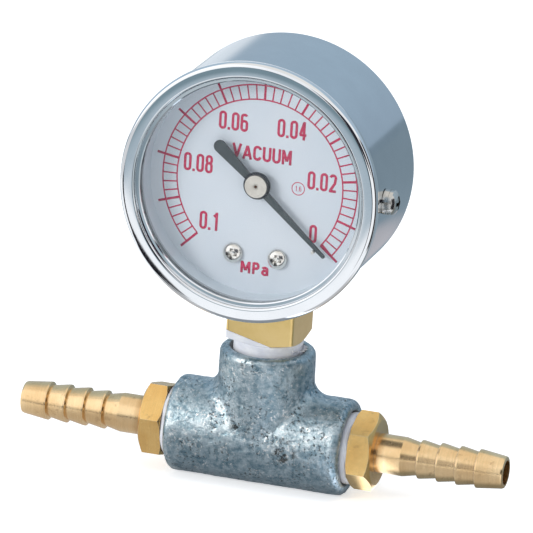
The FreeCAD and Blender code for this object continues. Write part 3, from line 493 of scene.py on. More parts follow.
# ---------------------------------------------------------------- mesh helpers
def piece_from(name, verts, faces, slot, material=None):
    """A new smooth piece on the fixed body, from vertices in metres."""
    mesh = bpy.data.meshes.new(name)
    mesh.from_pydata([tuple(v) for v in verts], [], faces)
    bm = bmesh.new()
    bm.from_mesh(mesh)
    bmesh.ops.recalc_face_normals(bm, faces=bm.faces)
    bm.to_mesh(mesh)
    bm.free()
    for polygon in mesh.polygons:
        polygon.use_smooth = True
    mesh.materials.append(material or LOOKS[slot])
    made = bpy.data.objects.new(name, mesh)
    bpy.context.scene.collection.objects.link(made)
    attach(made, FIXED)
    return made


def tube_faces(loops, steps):
    """Faces of a closed tube of rings: the last ring joins the first."""
    faces = []
    for i in range(loops):
        a, b = i * steps, ((i + 1) % loops) * steps
        for k in range(steps):
            n = (k + 1) % steps
            faces.append((a + k, a + n, b + n, b + k))
    return faces


def wave(seed, x, y):
    """Smooth repeatable noise from -1 to 1."""
    return noise.noise(Vector((x, y, seed * 17.3)))


# ---------------------------------------------------------------- dial print
PRINT_RELIEF = 0.025 * MM
SECTION_STEPS = 8
SHARP_CORNER = 0.3  # cosine of the turn at which a stroke is laid as two
CORNER_OVERLAP = 0.3  # share of the width by which the two overlap


class Print:
    """Ink strokes on the dial: flattened tubes that follow polylines of (x, z) in metres."""

    def __init__(self):
        self.verts = []
        self.faces = []

    def stroke(self, points, width, closed=False):
        """One stroke; at a sharp corner it is laid as two that overlap."""
        points = [Vector(p) for p in points]
        if closed:
            self.tube(points, [width] * len(points), True)
            return
        run = points[:2]
        past = CORNER_OVERLAP * width
        for point in points[2:]:
            into = (run[-1] - run[-2]).normalized()
            out = (point - run[-1]).normalized()
            if into.dot(out) < SHARP_CORNER:
                self.tube(run[:-1] + [run[-1] + into * past], [width] * len(run), False)
                run = [run[-1] - out * past, point]
            else:
                run.append(point)
        self.tube(run, [width] * len(run), False)

    def tube(self, points, widths, closed):
        count = len(points)
        start = len(self.verts)
        for i, point in enumerate(points):
            before = points[i - 1] if (i > 0 or closed) else None
            after = points[(i + 1) % count] if (i < count - 1 or closed) else None
            into = ((point - before) if before is not None else (after - point)).normalized()
            out = (after - point).normalized() if after is not None else into
            along = (into + out).normalized()
            side = Vector((-along.y, along.x))
            reach = widths[i] / 2 / along.dot(into)
            for k in range(SECTION_STEPS):
                angle = TURN * k / SECTION_STEPS
                offset = side * (reach * math.cos(angle))
                y = dial_y - PRINT_RELIEF * math.sin(angle)
                self.verts.append((point.x + offset.x, y, point.y + offset.y))
        for i in range(count if closed else count - 1):
            a = start + i * SECTION_STEPS
            b = start + ((i + 1) % count) * SECTION_STEPS
            for k in range(SECTION_STEPS):
                n = (k + 1) % SECTION_STEPS
                self.faces.append((a + k, a + n, b + n, b + k))
        if not closed:
            self.faces.append(tuple(start + k for k in range(SECTION_STEPS)))
            end = start + (count - 1) * SECTION_STEPS
            self.faces.append(tuple(end + k for k in reversed(range(SECTION_STEPS))))

    def piece(self, name):
        return piece_from(name, self.verts, self.faces, "dial_paint", INK)


def arc(cx, cy, rx, ry, start, end, steps=10):
    """Points on an ellipse, angles in degrees."""
    angles = [math.radians(start + (end - start) * k / steps) for k in range(steps + 1)]
    return [(cx + rx * math.cos(a), cy + ry * math.sin(a)) for a in angles]


def glyph(letter, w, h):
    """Centre lines of one condensed letter in a box w wide and h high: list of (points, closed)."""
    r = w / 2
    over = 0.085 * h  # open ends run on by about half a stroke, to the outside height
    foot, head = -over, h + over
    if letter == "0":
        return [(arc(r, h - r, r, r, 0, 180) + arc(r, r, r, r, 180, 360), True)]
    if letter == "1":
        return [([(0.08 * w, 0.80 * h), (0.62 * w, 0.98 * h)], False),
                ([(0.62 * w, head), (0.62 * w, foot)], False)]
    if letter == "2":
        top = arc(r, h - r, r, r, 170, -20)
        return [(top + [(0.86 * w, 0.50 * h), (0, 0.02 * h)], False),
                ([(-0.2 * w, 0), (1.15 * w, 0)], False)]
    if letter == "4":
        return [([(0.66 * w, h), (0, 0.24 * h)], False),
                ([(-0.1 * w, 0.24 * h), (1.2 * w, 0.24 * h)], False),
                ([(0.74 * w, head), (0.74 * w, foot)], False)]
    if letter == "6":
        bowl = arc(r, 0.60 * h - r, r, r, 0, 180) + arc(r, r, r, r, 180, 360)
        back = arc(r, h - r, r, r, 28, 180, 8) + [(0, 0.5 * h)]
        return [(bowl, True), (back, False)]
    if letter == "8":
        top_r = 0.46 * w
        upper = (arc(r, h - top_r, top_r, top_r, 0, 180)
                 + arc(r, 0.56 * h + top_r, top_r, top_r, 180, 360))
        lower = arc(r, 0.56 * h - r, r, r, 0, 180) + arc(r, r, r, r, 180, 360)
        return [(upper, True), (lower, True)]
    if letter == ".":
        return [([(0, 0), (0, 0)], False)]
    if letter == "V":
        return [([(-0.04 * w, head), (r, 0)], False), ([(w * 1.04, head), (r, 0)], False)]
    if letter == "A":
        return [([(-0.04 * w, foot), (r, h)], False), ([(w * 1.04, foot), (r, h)], False),
                ([(0.14 * w, 0.25 * h), (0.86 * w, 0.25 * h)], False)]
    if letter == "C":
        return [(arc(r, h - r, r, r, 8, 180) + arc(r, r, r, r, 180, 352), False)]
    if letter == "U":
        return [([(0, head)] + arc(r, r, r, r, 180, 360) + [(w, head)], False)]
    if letter == "M":
        return [([(0, foot), (0, head)], False), ([(0.05 * w, h), (r, 0.18 * h)], False),
                ([(0.95 * w, h), (r, 0.18 * h)], False), ([(w, head), (w, foot)], False)]
    if letter == "P":
        bowl = arc(0.6 * w, 0.745 * h, 0.4 * w, 0.255 * h, 90, -90)
        bowl = [(0, h), (0.55 * w, h)] + bowl + [(0, 0.49 * h)]
        return [([(0, foot), (0, head)], False), (bowl, False)]
    if letter == "a":
        top = arc(r, 0.70 * h - 0.8 * r, r, 0.8 * r, 160, 0, 8) + [(w, foot)]
        bowl = arc(0.5 * w, 0.2 * h, 0.5 * w, 0.2 * h, 60, 300, 12)
        return [(top, False), ([(w, 0.4 * h)] + bowl + [(w, 0.12 * h)], False)]
    raise ValueError(letter)


def lettering(ink, text, centre, height, width, stroke, gap, wide=()):
    """Draws text about its centre; sizes are outside sizes, and wide scales single letters."""
    scale = dict(wide)
    sizes = [stroke if c == "." else width * scale.get(c, 1.0) for c in text]
    x = centre[0] - (sum(sizes) + gap * (len(text) - 1)) / 2
    base = centre[1] - height / 2 + stroke / 2
    for letter, size in zip(text, sizes):
        for points, closed in glyph(letter, size - stroke, height - stroke):
            if letter == ".":
                points = [(0, -stroke / 2), (0, stroke / 2)]
            placed = [(x + stroke / 2 + px, base + pz) for px, pz in points]
            ink.stroke(placed, stroke, closed)
        x += size + gap


def dial_point(radius, degrees):
    """Point on the dial, radius in mm, angle counter-clockwise from +X seen from the front."""
    a = math.radians(degrees)
    return (radius * MM * math.cos(a), gauge_z + radius * MM * math.sin(a))


FULL_SCALE = 224.24  # degrees, at the mark of 0.1
DIVISION = 5.38  # degrees
DIVISIONS = 49
INNER_ARC = 20.74
OUTER_ARC = 24.3
LONG_TICK = 26.26
THIN = 0.36 * MM
THICK = 0.60 * MM
LETTER_STROKE = 0.66 * MM
NUMERALS = (
    ("0.1", -11.93, -11.07), ("0.08", -15.55, 2.93), ("0.06", -7.35, 14.43),
    ("0.04", 7.27, 14.45), ("0.02", 15.47, 2.64), ("0", 13.99, -10.53),
)
CLASS_RING_R = 1.56 * MM


def dial_scale():
    """Two arcs with a tick every 0.002 and a long one every 0.01; the zero mark is a wedge."""
    ink = Print()
    zero = FULL_SCALE - DIVISION * DIVISIONS
    halves = [FULL_SCALE - k * DIVISION / 2 for k in range(2 * DIVISIONS + 1)]
    for radius in (INNER_ARC, OUTER_ARC):
        ink.stroke([dial_point(radius, angle) for angle in halves], THIN)
    for k in range(DIVISIONS):
        long = k % 5 == 0
        reach = LONG_TICK if long else OUTER_ARC
        inner = INNER_ARC + (0.0 if k == 0 else 0.1)
        angle = FULL_SCALE - k * DIVISION
        ink.stroke([dial_point(inner, angle), dial_point(reach, angle)], THICK if long else THIN)
    wedge = [Vector(dial_point(INNER_ARC, zero + 0.6)), Vector(dial_point(OUTER_ARC, zero + 0.1))]
    ink.tube(wedge, [1.0 * MM, 0.62 * MM], False)
    ink.stroke([dial_point(OUTER_ARC - 0.2, zero + 0.1), dial_point(LONG_TICK, zero)], THICK)
    ink.piece("dial_scale")


def dial_numerals():
    ink = Print()
    for text, x, z in NUMERALS:
        lettering(ink, text, (x * MM, gauge_z + z * MM), height=4.55 * MM, width=1.95 * MM,
                  stroke=LETTER_STROKE, gap=0.27 * MM)
    ink.piece("dial_numerals")


def dial_words():
    ink = Print()
    lettering(ink, "VACUUM", (0.15 * MM, gauge_z + 7.37 * MM), height=3.75 * MM, width=2.15 * MM,
              stroke=LETTER_STROKE, gap=0.24 * MM, wide=(("V", 1.1), ("A", 1.12), ("M", 1.15)))
    lettering(ink, "MPa", (-0.03 * MM, gauge_z - 21.24 * MM), height=3.15 * MM, width=1.95 * MM,
              stroke=LETTER_STROKE, gap=0.42 * MM, wide=(("M", 1.3), ("P", 0.95), ("a", 0.95)))
    ink.piece("dial_words")


def class_mark():
    """Small ring with the accuracy class in it."""
    ink = Print()
    centre = (9.64 * MM, gauge_z + 0.1 * MM)
    ring = arc(*centre, CLASS_RING_R, CLASS_RING_R, 0, 360, 36)[:-1]
    ink.stroke(ring, 0.22 * MM, True)
    lettering(ink, "1.6", centre, height=1.25 * MM, width=0.6 * MM, stroke=0.17 * MM,
              gap=0.12 * MM)
    ink.piece("class_mark")


dial_scale()
dial_numerals()
dial_words()
class_mark()


# ---------------------------------------------------------------- bezel
# The profile as (radius, depth behind the front), in mm: outer wall, three arcs over the roll,
# and the flange behind the window.
BEZEL_START = ((31.7, 3.2), (32.0, 2.5))
BEZEL_ARCS = (
    ((32.05, 1.2), (31.6985, 0.3515), (30.85, 0.0)),
    ((30.85, 0.0), (29.85, 0.013), (28.85, 0.052)),
    ((28.85, 0.052), (28.40, 0.26), (28.18, 0.66)),
)
BEZEL_REST = ((28.15, 1.25), (27.5, 1.3), (27.25, 1.5), (27.25, 1.8), (31.15, 1.8), (31.15, 3.2))
BEZEL_ARC_STEPS = 20
BEZEL_STEPS = 384
CREASE = math.radians(30)


def three_point_arc(start, middle, end, steps):
    """Points on the circle through three points, from start to end."""
    (ax, ay), (bx, by), (cx, cy) = start, middle, end
    d = 2 * (ax * (by - cy) + bx * (cy - ay) + cx * (ay - by))
    sa, sb, sc = ax * ax + ay * ay, bx * bx + by * by, cx * cx + cy * cy
    ox = (sa * (by - cy) + sb * (cy - ay) + sc * (ay - by)) / d
    oy = (sa * (cx - bx) + sb * (ax - cx) + sc * (bx - ax)) / d
    radius = math.hypot(ax - ox, ay - oy)
    first = math.atan2(ay - oy, ax - ox)
    turn = (math.atan2(cy - oy, cx - ox) - first + math.pi) % TURN - math.pi
    angles = [first + turn * k / steps for k in range(steps + 1)]
    return [(ox + radius * math.cos(a), oy + radius * math.sin(a)) for a in angles]


def bezel_roll():
    """The rolled bezel again, turned finely enough to mirror clean lines."""
    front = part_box("bezel_ring")[0].y
    profile = list(BEZEL_START)
    for start, middle, end in BEZEL_ARCS:
        profile += three_point_arc(start, middle, end, BEZEL_ARC_STEPS)[:-1]
    profile.append(BEZEL_ARCS[-1][-1])
    profile += BEZEL_REST
    verts = []
    for r, depth in profile:
        for k in range(BEZEL_STEPS):
            a = TURN * k / BEZEL_STEPS
            verts.append(
                (r * MM * math.cos(a), front + depth * MM, gauge_z + r * MM * math.sin(a)))
    faces = tube_faces(len(profile), BEZEL_STEPS)
    made = piece_from("bezel_roll", verts, faces, "bezel_chrome")
    made.data.set_sharp_from_angle(angle=CREASE)
    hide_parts("bezel_ring")


bezel_roll()


# ---------------------------------------------------------------- tee casting
VOXEL = 0.42 * MM
SMOOTH_INSIDE = 0.9 * MM  # how far outside the tape the rough skin begins
LUMP = 0.16 * MM
PIT = 0.14 * MM
PIT_BEGINS = 0.34
SEAM_Z = -2.6  # mm, height of the mould's seam on the front
SEAM_HALF = 0.55


def casting_relief(q):
    """How far the rough skin stands off the smooth one at q, which is in mm; in metres."""
    lump = noise.fractal(q * 0.16, 0.9, 2.1, 3)
    grit = noise.fractal(q * 0.9 + Vector((5, 1, 8)), 0.8, 2.1, 3)
    pit = noise.noise(q * 0.75 + Vector((31, 7, 2)))
    seam = 0.0
    if q.y < 0:
        patchy = max(0.0, noise.noise(q * 0.5) + 0.4)
        seam = math.exp(-((q.z - SEAM_Z) / SEAM_HALF) ** 2) * patchy
    dent = max(0.0, pit - PIT_BEGINS) * 3.2
    return LUMP * (0.55 * lump + 0.35 * grit + 0.5 * seam) - PIT * dent


def tee_casting():
    """The tee as a rough casting: remeshed from the CAD shape, then lumped and pitted outside."""
    made = bpy.data.objects.new("tee_casting", nodes["pipe_tee"].data.copy())
    bpy.context.scene.collection.objects.link(made)
    remesh = made.modifiers.new("even_faces", "REMESH")
    remesh.mode = "VOXEL"
    remesh.voxel_size = VOXEL
    remesh.use_smooth_shade = True
    evaluated = made.evaluated_get(bpy.context.evaluated_depsgraph_get())
    mesh = bpy.data.meshes.new_from_object(evaluated)
    made.modifiers.clear()
    made.data = mesh
    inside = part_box("thread_tape_gauge")[1].x + SMOOTH_INSIDE
    moved = []
    for vertex in mesh.vertices:
        p = vertex.co.copy()
        from_run = math.hypot(p.y, p.z)
        from_branch = math.hypot(p.x, p.y) if p.z > 0 else math.inf
        if min(from_run, from_branch) > inside:
            p += vertex.normal * casting_relief(p / MM)
        moved.extend(p)
    mesh.vertices.foreach_set("co", moved)
    mesh.update()
    mesh.materials.clear()
    mesh.materials.append(LOOKS["galvanised_iron"])
    for polygon in mesh.polygons:
        polygon.use_smooth = True
    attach(made, FIXED)
    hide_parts("pipe_tee")
    return made


tee = tee_casting()


# ---------------------------------------------------------------- sealing tape
TAPE_SLEEVE = 0.4 * MM
TAPE_TURNS = 5
TAPE_LAYER = 0.10 * MM
TAPE_PUCKER = 0.07 * MM
TAPE_END_DROP = 0.12 * MM
TAPE_RINGS = 34
TAPE_STEPS = 96
TAPE_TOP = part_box("thread_tape_gauge")[1].z

BLOCK_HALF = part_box("gauge_socket")[1].x
BLOCK_ROUND = 0.8 * MM
CHAMFER_SLOPE = math.tan(math.radians(18))
CHAMFER_R = 8.3 * MM
FOLD_GAP = 0.07 * MM
FOLD_INNER_R = 8.42 * MM
FOLD_SLACK = 0.12 * MM
FOLD_END_X = 2.9 * MM
FOLD_END_Y = -2 * MM
FOLD_LOW = 0.2 * MM  # the upper edge's height over the winding's top, at its right end
FOLD_RISE = 2.9 * MM  # from there to the corner
FOLD_HIGH = 3.1 * MM  # its height past the corner
FOLD_FALL = 0.22  # its slope on the left side
FOLD_FILM = 0.06 * MM
FOLD_ROWS = 6  # on the chamfer, and as many again on the block's sides
FOLD_FRONT_STEPS = 40
FOLD_TURN_STEPS = 8

FLAP_R = 8.50 * MM
FLAP_REACH = 1.7 * MM
FLAP_START = -30  # degrees
FLAP_SPREAD = 44
FLAP_TEETH = 5
FLAP_ROWS = 8
FLAP_COLUMNS = 32
FLAP_FILM = 0.08 * MM


def wound_tape(name, node, along, seed, bulge_at, bulge):
    """Layered winding: a sleeve whose outside steps at each layer's edge and puckers.

    bulge_at says between which shares of its length it swells, by bulge.
    """
    low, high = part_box(node)
    axis = "xyz".index(along)
    across = [i for i in range(3) if i != axis]
    outer = high[across[0]]
    angles = [TURN * k / TAPE_STEPS for k in range(TAPE_STEPS)]
    verts = []

    def outside(share, a):
        layer = TAPE_LAYER * (((share * TAPE_TURNS + a / TURN) % 1.0) - 0.5)
        pucker = TAPE_PUCKER * wave(seed, 2.2 * math.cos(a) + 9 * share, 2.2 * math.sin(a))
        return outer + layer + pucker

    def ring(at, radii):
        for a, r in zip(angles, radii):
            point = [0.0, 0.0, 0.0]
            point[axis] = at
            point[across[0]] = r * math.cos(a)
            point[across[1]] = r * math.sin(a)
            verts.append(point)

    for i in range(TAPE_RINGS):
        share = i / (TAPE_RINGS - 1)
        within = (share - bulge_at[0]) / (bulge_at[1] - bulge_at[0])
        swell = bulge * math.sin(math.pi * min(1.0, max(0.0, within)))
        drop = TAPE_END_DROP if i in (0, TAPE_RINGS - 1) else 0.0
        ring(low[axis] + (high[axis] - low[axis]) * share,
             [outside(share, a) + swell - drop for a in angles])
    for at in (high[axis], low[axis]):
        ring(at, [outer - TAPE_SLEEVE] * TAPE_STEPS)
    made = piece_from(name, verts, tube_faces(TAPE_RINGS + 2, TAPE_STEPS), "ptfe_tape")
    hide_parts(node)


def sheet_piece(name, rows, thick):
    """Thin sheet from a grid of points, given thickness along its own normals."""
    height, width = len(rows), len(rows[0])
    verts = [p for row in rows for p in row]
    faces = [
        (r * width + c, r * width + c + 1, (r + 1) * width + c + 1, (r + 1) * width + c)
        for r in range(height - 1) for c in range(width - 1)
    ]
    made = piece_from(name, verts, faces, "ptfe_tape")
    solid = made.modifiers.new("film", "SOLIDIFY")
    solid.thickness = thick
    solid.offset = 0.0


def fold_path():
    """The way the tape's last turn takes round the block: front, lower left corner, left side."""
    flat = BLOCK_HALF + FOLD_GAP
    turn = BLOCK_HALF - BLOCK_ROUND
    path = [(FOLD_END_X + (-turn - FOLD_END_X) * k / FOLD_FRONT_STEPS, -flat)
            for k in range(FOLD_FRONT_STEPS + 1)]
    shares = [k / FOLD_TURN_STEPS for k in range(1, FOLD_TURN_STEPS + 1)]
    for share in shares:
        a = math.radians(270 - 90 * share)
        r = BLOCK_ROUND + FOLD_GAP
        path.append((-turn + r * math.cos(a), -turn + r * math.sin(a)))
    return path + [(-flat, -turn + (turn + FOLD_END_Y) * share) for share in shares]


def fold_top(x, y):
    """Height of the fold's straight upper edge, which rises to the left and then falls back."""
    flat = BLOCK_HALF + FOLD_GAP
    if y <= -(BLOCK_HALF - BLOCK_ROUND) - 0.5 * BLOCK_ROUND:
        return TAPE_TOP + FOLD_LOW + FOLD_RISE * (FOLD_END_X - x) / (FOLD_END_X + flat)
    return TAPE_TOP + FOLD_HIGH - FOLD_FALL * (y + flat)


def tape_fold():
    """The tape's last turn, drawn up over the block's lower left corner."""
    rows = [[] for _ in range(2 * FOLD_ROWS)]
    last = FOLD_ROWS - 1
    for x, y in fold_path():
        reach = math.hypot(x, y)
        edge = TAPE_TOP + (reach - CHAMFER_R) * CHAMFER_SLOPE
        top = max(fold_top(x, y), edge + 0.02 * MM)
        for k in range(FOLD_ROWS):
            r = FOLD_INNER_R + (reach - FOLD_INNER_R) * k / last
            slack = FOLD_GAP + FOLD_SLACK * (1 - k / last)
            z = TAPE_TOP + (r - CHAMFER_R) * CHAMFER_SLOPE - slack
            rows[k].append((r * x / reach, r * y / reach, z))
        for k in range(FOLD_ROWS):
            rows[FOLD_ROWS + k].append((x, y, edge + (top - edge) * (k + 0.4) / (last + 0.4)))
    for row in rows:
        for i, (x, y, z) in enumerate(row):
            lift = 1 + 0.004 * wave(3, 300 * x, 300 * z)
            row[i] = (x * lift, y * lift, z)
    sheet_piece("tape_fold", rows, FOLD_FILM)


def tape_flap():
    """Torn, toothed end of the tape that sticks out over the tee's mouth on the right."""
    rows = []
    for row in range(FLAP_ROWS + 1):
        share = row / FLAP_ROWS
        line = []
        for column in range(FLAP_COLUMNS + 1):
            across = column / FLAP_COLUMNS
            phi = math.radians(FLAP_START + FLAP_SPREAD * across)
            teeth = 0.72 + 0.28 * math.cos(across * TURN * FLAP_TEETH)
            r = FLAP_R + FLAP_REACH * share * math.sin(math.pi * across) ** 0.5 * teeth
            curl = 0.55 * share + 0.15 * math.sin(7.0 * across + 2 * share)
            line.append((r * math.cos(phi), r * math.sin(phi), tee_high.z + (0.35 + curl) * MM))
        rows.append(line)
    sheet_piece("tape_flap", rows, FLAP_FILM)


wound_tape("tape_wrap_gauge", "thread_tape_gauge", along="z", seed=1,
           bulge_at=(0.72, 1.0), bulge=-0.15 * MM)
wound_tape("tape_wrap_right", "thread_tape_right", along="x", seed=2,
           bulge_at=(0.80, 1.0), bulge=0.22 * MM)
wound_tape("tape_wrap_left", "thread_tape_left", along="x", seed=5,
           bulge_at=(0.0, 0.20), bulge=0.22 * MM)
tape_fold()
tape_flap()


# ---------------------------------------------------------------- stage, light, camera
WINDOW_LIGHT = (0.84, 0.91, 0.98)
BLACK_CARD = (0.03, 0.03, 0.035)
BLACK_GAP = (0.02, 0.02, 0.03)
CARD_FROM, CARD_TO = 66, 98  # degrees of bearing
FRONT = 0.025  # metres from the origin forward to the point that the table's zones lie round
FLOOR_HALF = 6.0


def bearing(s, x, y, y0):
    """Angle in degrees of (x, y) about (0, y0), 0 straight to the front, positive to the right."""
    return s.times(s.math("ARCTAN2", x, s.minus(y0, y)), 360 / TURN)


def table_reflected(s, x, y):
    """What polished parts see in the table: white sheet in front, dark gaps, blue-grey behind.

    reach and angle say where a point lies about the gauge's front; lengths are in metres.
    """
    reach = from_axis(s, x, s.plus(y, FRONT))
    angle = bearing(s, x, y, -FRONT)
    width = s.absolute(x)
    shade = s.mix(s.step(reach, 0.345, 0.285), (0.22, 0.31, 0.36), (0.45, 0.54, 0.61))

    # The white sheet ends nearer on the right than on the left.
    past = s.minus(reach, s.step(angle, -20, -12, 0.268, 0.238))
    shade = s.mix(s.step(past, 0.013, -0.013), shade, (1.10, 1.12, 1.15))

    # Close in front of the tee, where the barbs and the hexagons look, the table is grey, a painted
    # shadow, with a bright strip by the hexagons; the brass leans with y. Under the tee and under
    # the right nipple it is darker still, also painted shadow.
    close = s.times(s.step(y, -0.100, -0.060), s.step(width, 0.085, 0.055))
    skew = s.minus(x, s.plus(s.times(y, 0.3), 0.0036))
    by_hexagon = s.between(skew, 0.021, 0.032, 0.003)
    shade = s.mix(close, shade, s.mix(by_hexagon, (0.58, 0.58, 0.59), (1.9, 2.0, 2.2)))
    under_tee = s.times(s.step(y, -0.105, -0.070), s.step(s.absolute(skew), 0.0235, 0.021))
    shade = s.mix(under_tee, shade, (0.30, 0.33, 0.36))
    under_right = s.times(s.step(x, 0.029, 0.033), s.step(y, -0.010, -0.002))
    shade = s.mix(under_right, shade, (0.26, 0.28, 0.28))

    # Behind the object, with a warm patch for the case's right side and light far to the left.
    shade = s.mix(s.step(y, 0.02, 0.06), shade, (0.27, 0.35, 0.41))
    warm = s.times(s.between(x, 0.0, 0.075, 0.02), s.between(y, 0.09, 0.17, 0.03))
    shade = s.over(shade, warm, 0.8, (0.60, 0.57, 0.60))
    far_left = s.times(s.step(y, 0.30, 0.60), s.step(x, -0.05, -0.15))
    shade = s.mix(far_left, shade, WINDOW_LIGHT)
    left = s.times(s.step(x, -0.205, -0.235), s.between(y, -0.32, 0.10, 0.05))
    shade = s.mix(left, shade, (1.15, 1.15, 1.15))

    # Further out: white to the right, a black strip ahead, grey to the front left, a black card.
    away = s.step(reach, 0.15, 0.18)
    shade = s.mix(s.times(s.between(angle, 15, 100, 3), away), shade, (1.12, 1.12, 1.13))
    shade = s.mix(s.times(s.between(angle, -1, 12, 2), away), shade, (0.03, 0.03, 0.04))
    front_left = s.times(s.step(angle, -25, -29), s.step(reach, 0.26, 0.31))
    shade = s.mix(s.times(front_left, s.step(y, 0.02, -0.02)), shade, (0.78, 0.79, 0.81))
    card = s.times(s.between(angle, CARD_FROM, CARD_TO, 6), s.step(reach, 0.11, 0.13))
    shade = s.mix(card, shade, BLACK_CARD)

    # A black wedge that draws the dark line in the bezel's lower left.
    start = s.plus(s.step(reach, 0.14, 0.165, -31.0, -21.5), s.step(reach, 0.20, 0.25, 0.0, -4.0))
    turned = s.minus(start, angle)
    spread = s.times(s.step(reach, 0.10, 0.135, 44.0, 24.0), s.step(reach, 0.31, 0.27))
    wedge = s.times(s.step(turned, -0.4, 0.4), s.step(s.minus(turned, spread), 1.0, -1.0))
    wedge = s.times(wedge, s.step(reach, 0.078, 0.084))
    return s.mix(wedge, shade, (0.015, 0.015, 0.02))


def stage_floor():
    """Wide pale floor; mirrors see table_reflected in it."""
    z = cad_low.z
    corners = ((-1, -1), (1, -1), (1, 1), (-1, 1))
    verts = [(FLOOR_HALF * x, FLOOR_HALF * y, z) for x, y in corners]
    mesh = bpy.data.meshes.new("studio_floor")
    mesh.from_pydata(verts, [], [(0, 1, 2, 3)])
    s = Surface("studio_floor_look")
    x, y, _ = s.split()
    pale = s.mix(s.noise(30, 3), (0.93, 0.93, 0.93), (0.95, 0.95, 0.95))
    white = s.add("ShaderNodeBsdfDiffuse", {"Color": pale}).outputs[0]
    glow = s.add("ShaderNodeEmission", {"Color": (1, 1, 1, 1), "Strength": 0.55}).outputs[0]
    lit = s.add("ShaderNodeAddShader", {0: white, 1: glow}).outputs[0]
    rays = s.add("ShaderNodeLightPath").outputs
    floor = s.add("ShaderNodeMixShader", {0: rays["Is Camera Ray"], 1: white, 2: lit}).outputs[0]
    seen = s.add("ShaderNodeEmission", {"Color": table_reflected(s, x, y)}).outputs[0]
    both = s.add("ShaderNodeMixShader", {0: rays["Is Glossy Ray"], 1: floor, 2: seen}).outputs[0]
    s.add("ShaderNodeOutputMaterial", {"Surface": both})
    mesh.materials.append(s.material)
    made = bpy.data.objects.new("studio_floor", mesh)
    bpy.context.scene.collection.objects.link(made)


def stage_world():
    """Plain white to the camera, even soft light for diffuse surfaces, a studio in reflections.

    The studio is laid out by direction: angle is the bearing, z the sine of the height.
    """
    world = bpy.data.worlds.new("studio")
    world.use_nodes = True
    bpy.context.scene.world = world
    s = Nodes(world.node_tree, "Generated")
    x, y, z = s.split()
    angle = bearing(s, x, y, 0.0)
    room = s.mix(s.step(z, 0.05, 0.45), (0.42, 0.53, 0.64), (0.47, 0.60, 0.72))
    room = s.mix(s.step(z, 0.050, 0.035), room, (0.255, 0.335, 0.40))
    window = s.times(s.step(z, 0.12, 0.01), s.step(angle, -125, -140))
    room = s.mix(window, room, WINDOW_LIGHT)
    right_wall = s.times(s.between(angle, 3, 100, 6), s.step(z, 0.94, 0.90))
    room = s.mix(right_wall, room, (1.05, 1.05, 1.06))
    bottom = s.step(angle, -24, -18, -0.05, 0.07)
    height = s.times(s.step(s.minus(z, bottom), -0.015, 0.015), s.step(z, 0.955, 0.925))
    left_wall = s.times(s.between(angle, -85, 4, 3), height)
    left_white = s.mix(s.step(angle, -60, 20), (1.35, 1.35, 1.37), (0.98, 1.0, 1.04))
    room = s.mix(left_wall, room, left_white)
    gap = s.times(s.between(angle, 7, 50, 2), s.step(z, 0.56, 0.48))
    room = s.mix(gap, room, BLACK_GAP)
    card = s.times(s.between(angle, CARD_FROM, CARD_TO, 6), s.step(z, 0.50, 0.40))
    room = s.mix(card, room, BLACK_CARD)
    skirting = s.times(s.between(angle, -20, 50, 3), s.step(z, 0.060, 0.045))
    room = s.mix(skirting, room, (0.10, 0.09, 0.09))
    ceiling = s.step(z, 0.78, 0.85)
    room = s.mix(ceiling, room, (0.96, 0.94, 0.91))
    rays = s.add("ShaderNodeLightPath").outputs
    lit = s.mix(rays["Is Glossy Ray"], (0.56, 0.585, 0.62), room)
    lit = s.mix(rays["Is Camera Ray"], lit, (1.0, 1.0, 1.0))
    out = s.add("ShaderNodeBackground", {"Color": lit}).outputs[0]
    s.add("ShaderNodeOutputWorld", {"Surface": out})


def soft_light(name, location, target, width, height, radiance):
    """Area light that mirrors don't show."""
    lamp = bpy.data.lights.new(name, "AREA")
    lamp.shape = "RECTANGLE"
    lamp.size = width
    lamp.size_y = height
    lamp.energy = radiance * math.pi * width * height
    made = bpy.data.objects.new(name, lamp)
    bpy.context.scene.collection.objects.link(made)
    made.location = location
    made.rotation_mode = "QUATERNION"
    made.rotation_quaternion = (Vector(target) - Vector(location)).to_track_quat("-Z", "Y")
    made.visible_camera = False
    made.visible_glossy = False
    return made


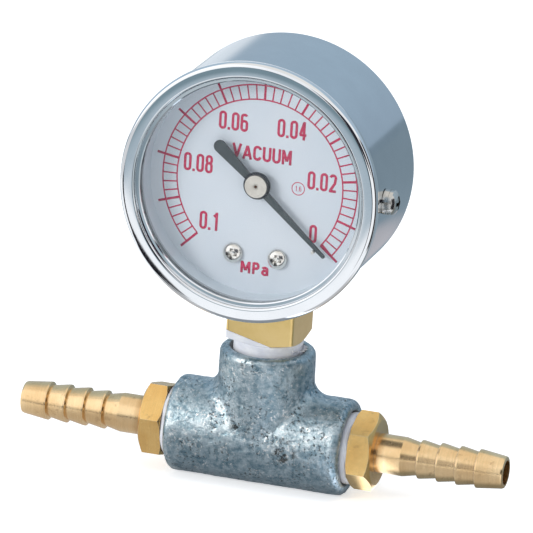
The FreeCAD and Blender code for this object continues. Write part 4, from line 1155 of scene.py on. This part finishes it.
def casting_sheen():
    """A light for the casting alone, which gives it its broad highlights."""
    made = soft_light("casting_sheen", location=(-0.98, -0.99, 0.55), target=(0, 0, 0),
                      width=0.34, height=0.34, radiance=27.0)
    made.visible_glossy = True
    made.data.color = (1.0, 0.82, 0.70)
    lit = bpy.data.collections.new("casting_sheen_receivers")
    lit.objects.link(tee)
    made.light_linking.receiver_collection = lit


CAMERA_AZIMUTH = math.radians(16.708)
CAMERA_ELEVATION = math.radians(17.494)
CAMERA_ROLL = math.radians(3.417)
CAMERA_TARGET = Vector((-1.657, 0.0, 42.65)) * MM
CAMERA_DISTANCE = 1563.9 * MM
FOCAL_MM = 437.18
SENSOR_MM = 36.0


def stage_camera():
    """Camera to the right of the front and above, a little rolled."""
    flat = math.cos(CAMERA_ELEVATION)
    back = Vector((math.sin(CAMERA_AZIMUTH) * flat, -math.cos(CAMERA_AZIMUTH) * flat,
                   math.sin(CAMERA_ELEVATION)))
    level = Vector((math.cos(CAMERA_AZIMUTH), math.sin(CAMERA_AZIMUTH), 0.0))
    upright = back.cross(level)
    right = level * math.cos(CAMERA_ROLL) + upright * math.sin(CAMERA_ROLL)
    up = upright * math.cos(CAMERA_ROLL) - level * math.sin(CAMERA_ROLL)
    lens = bpy.data.cameras.new("view")
    lens.sensor_width = SENSOR_MM
    lens.lens = FOCAL_MM
    lens.clip_start = 0.1
    lens.clip_end = 100.0
    made = bpy.data.objects.new("view", lens)
    bpy.context.scene.collection.objects.link(made)
    turned = Matrix((right, up, back)).transposed().to_4x4()
    made.matrix_world = Matrix.Translation(CAMERA_TARGET + back * CAMERA_DISTANCE) @ turned
    bpy.context.scene.camera = made


stage_floor()
stage_world()
soft_light("key", location=(-0.80, -1.05, 0.50), target=(0, 0, 0.04), width=0.45, height=0.35,
           radiance=16.0)
soft_light("top", location=(0.10, -0.30, 1.20), target=(0, 0, 0.05), width=0.50, height=0.50,
           radiance=3.0)
casting_sheen()
stage_camera()
bpy.context.scene.view_settings.view_transform = "Standard"
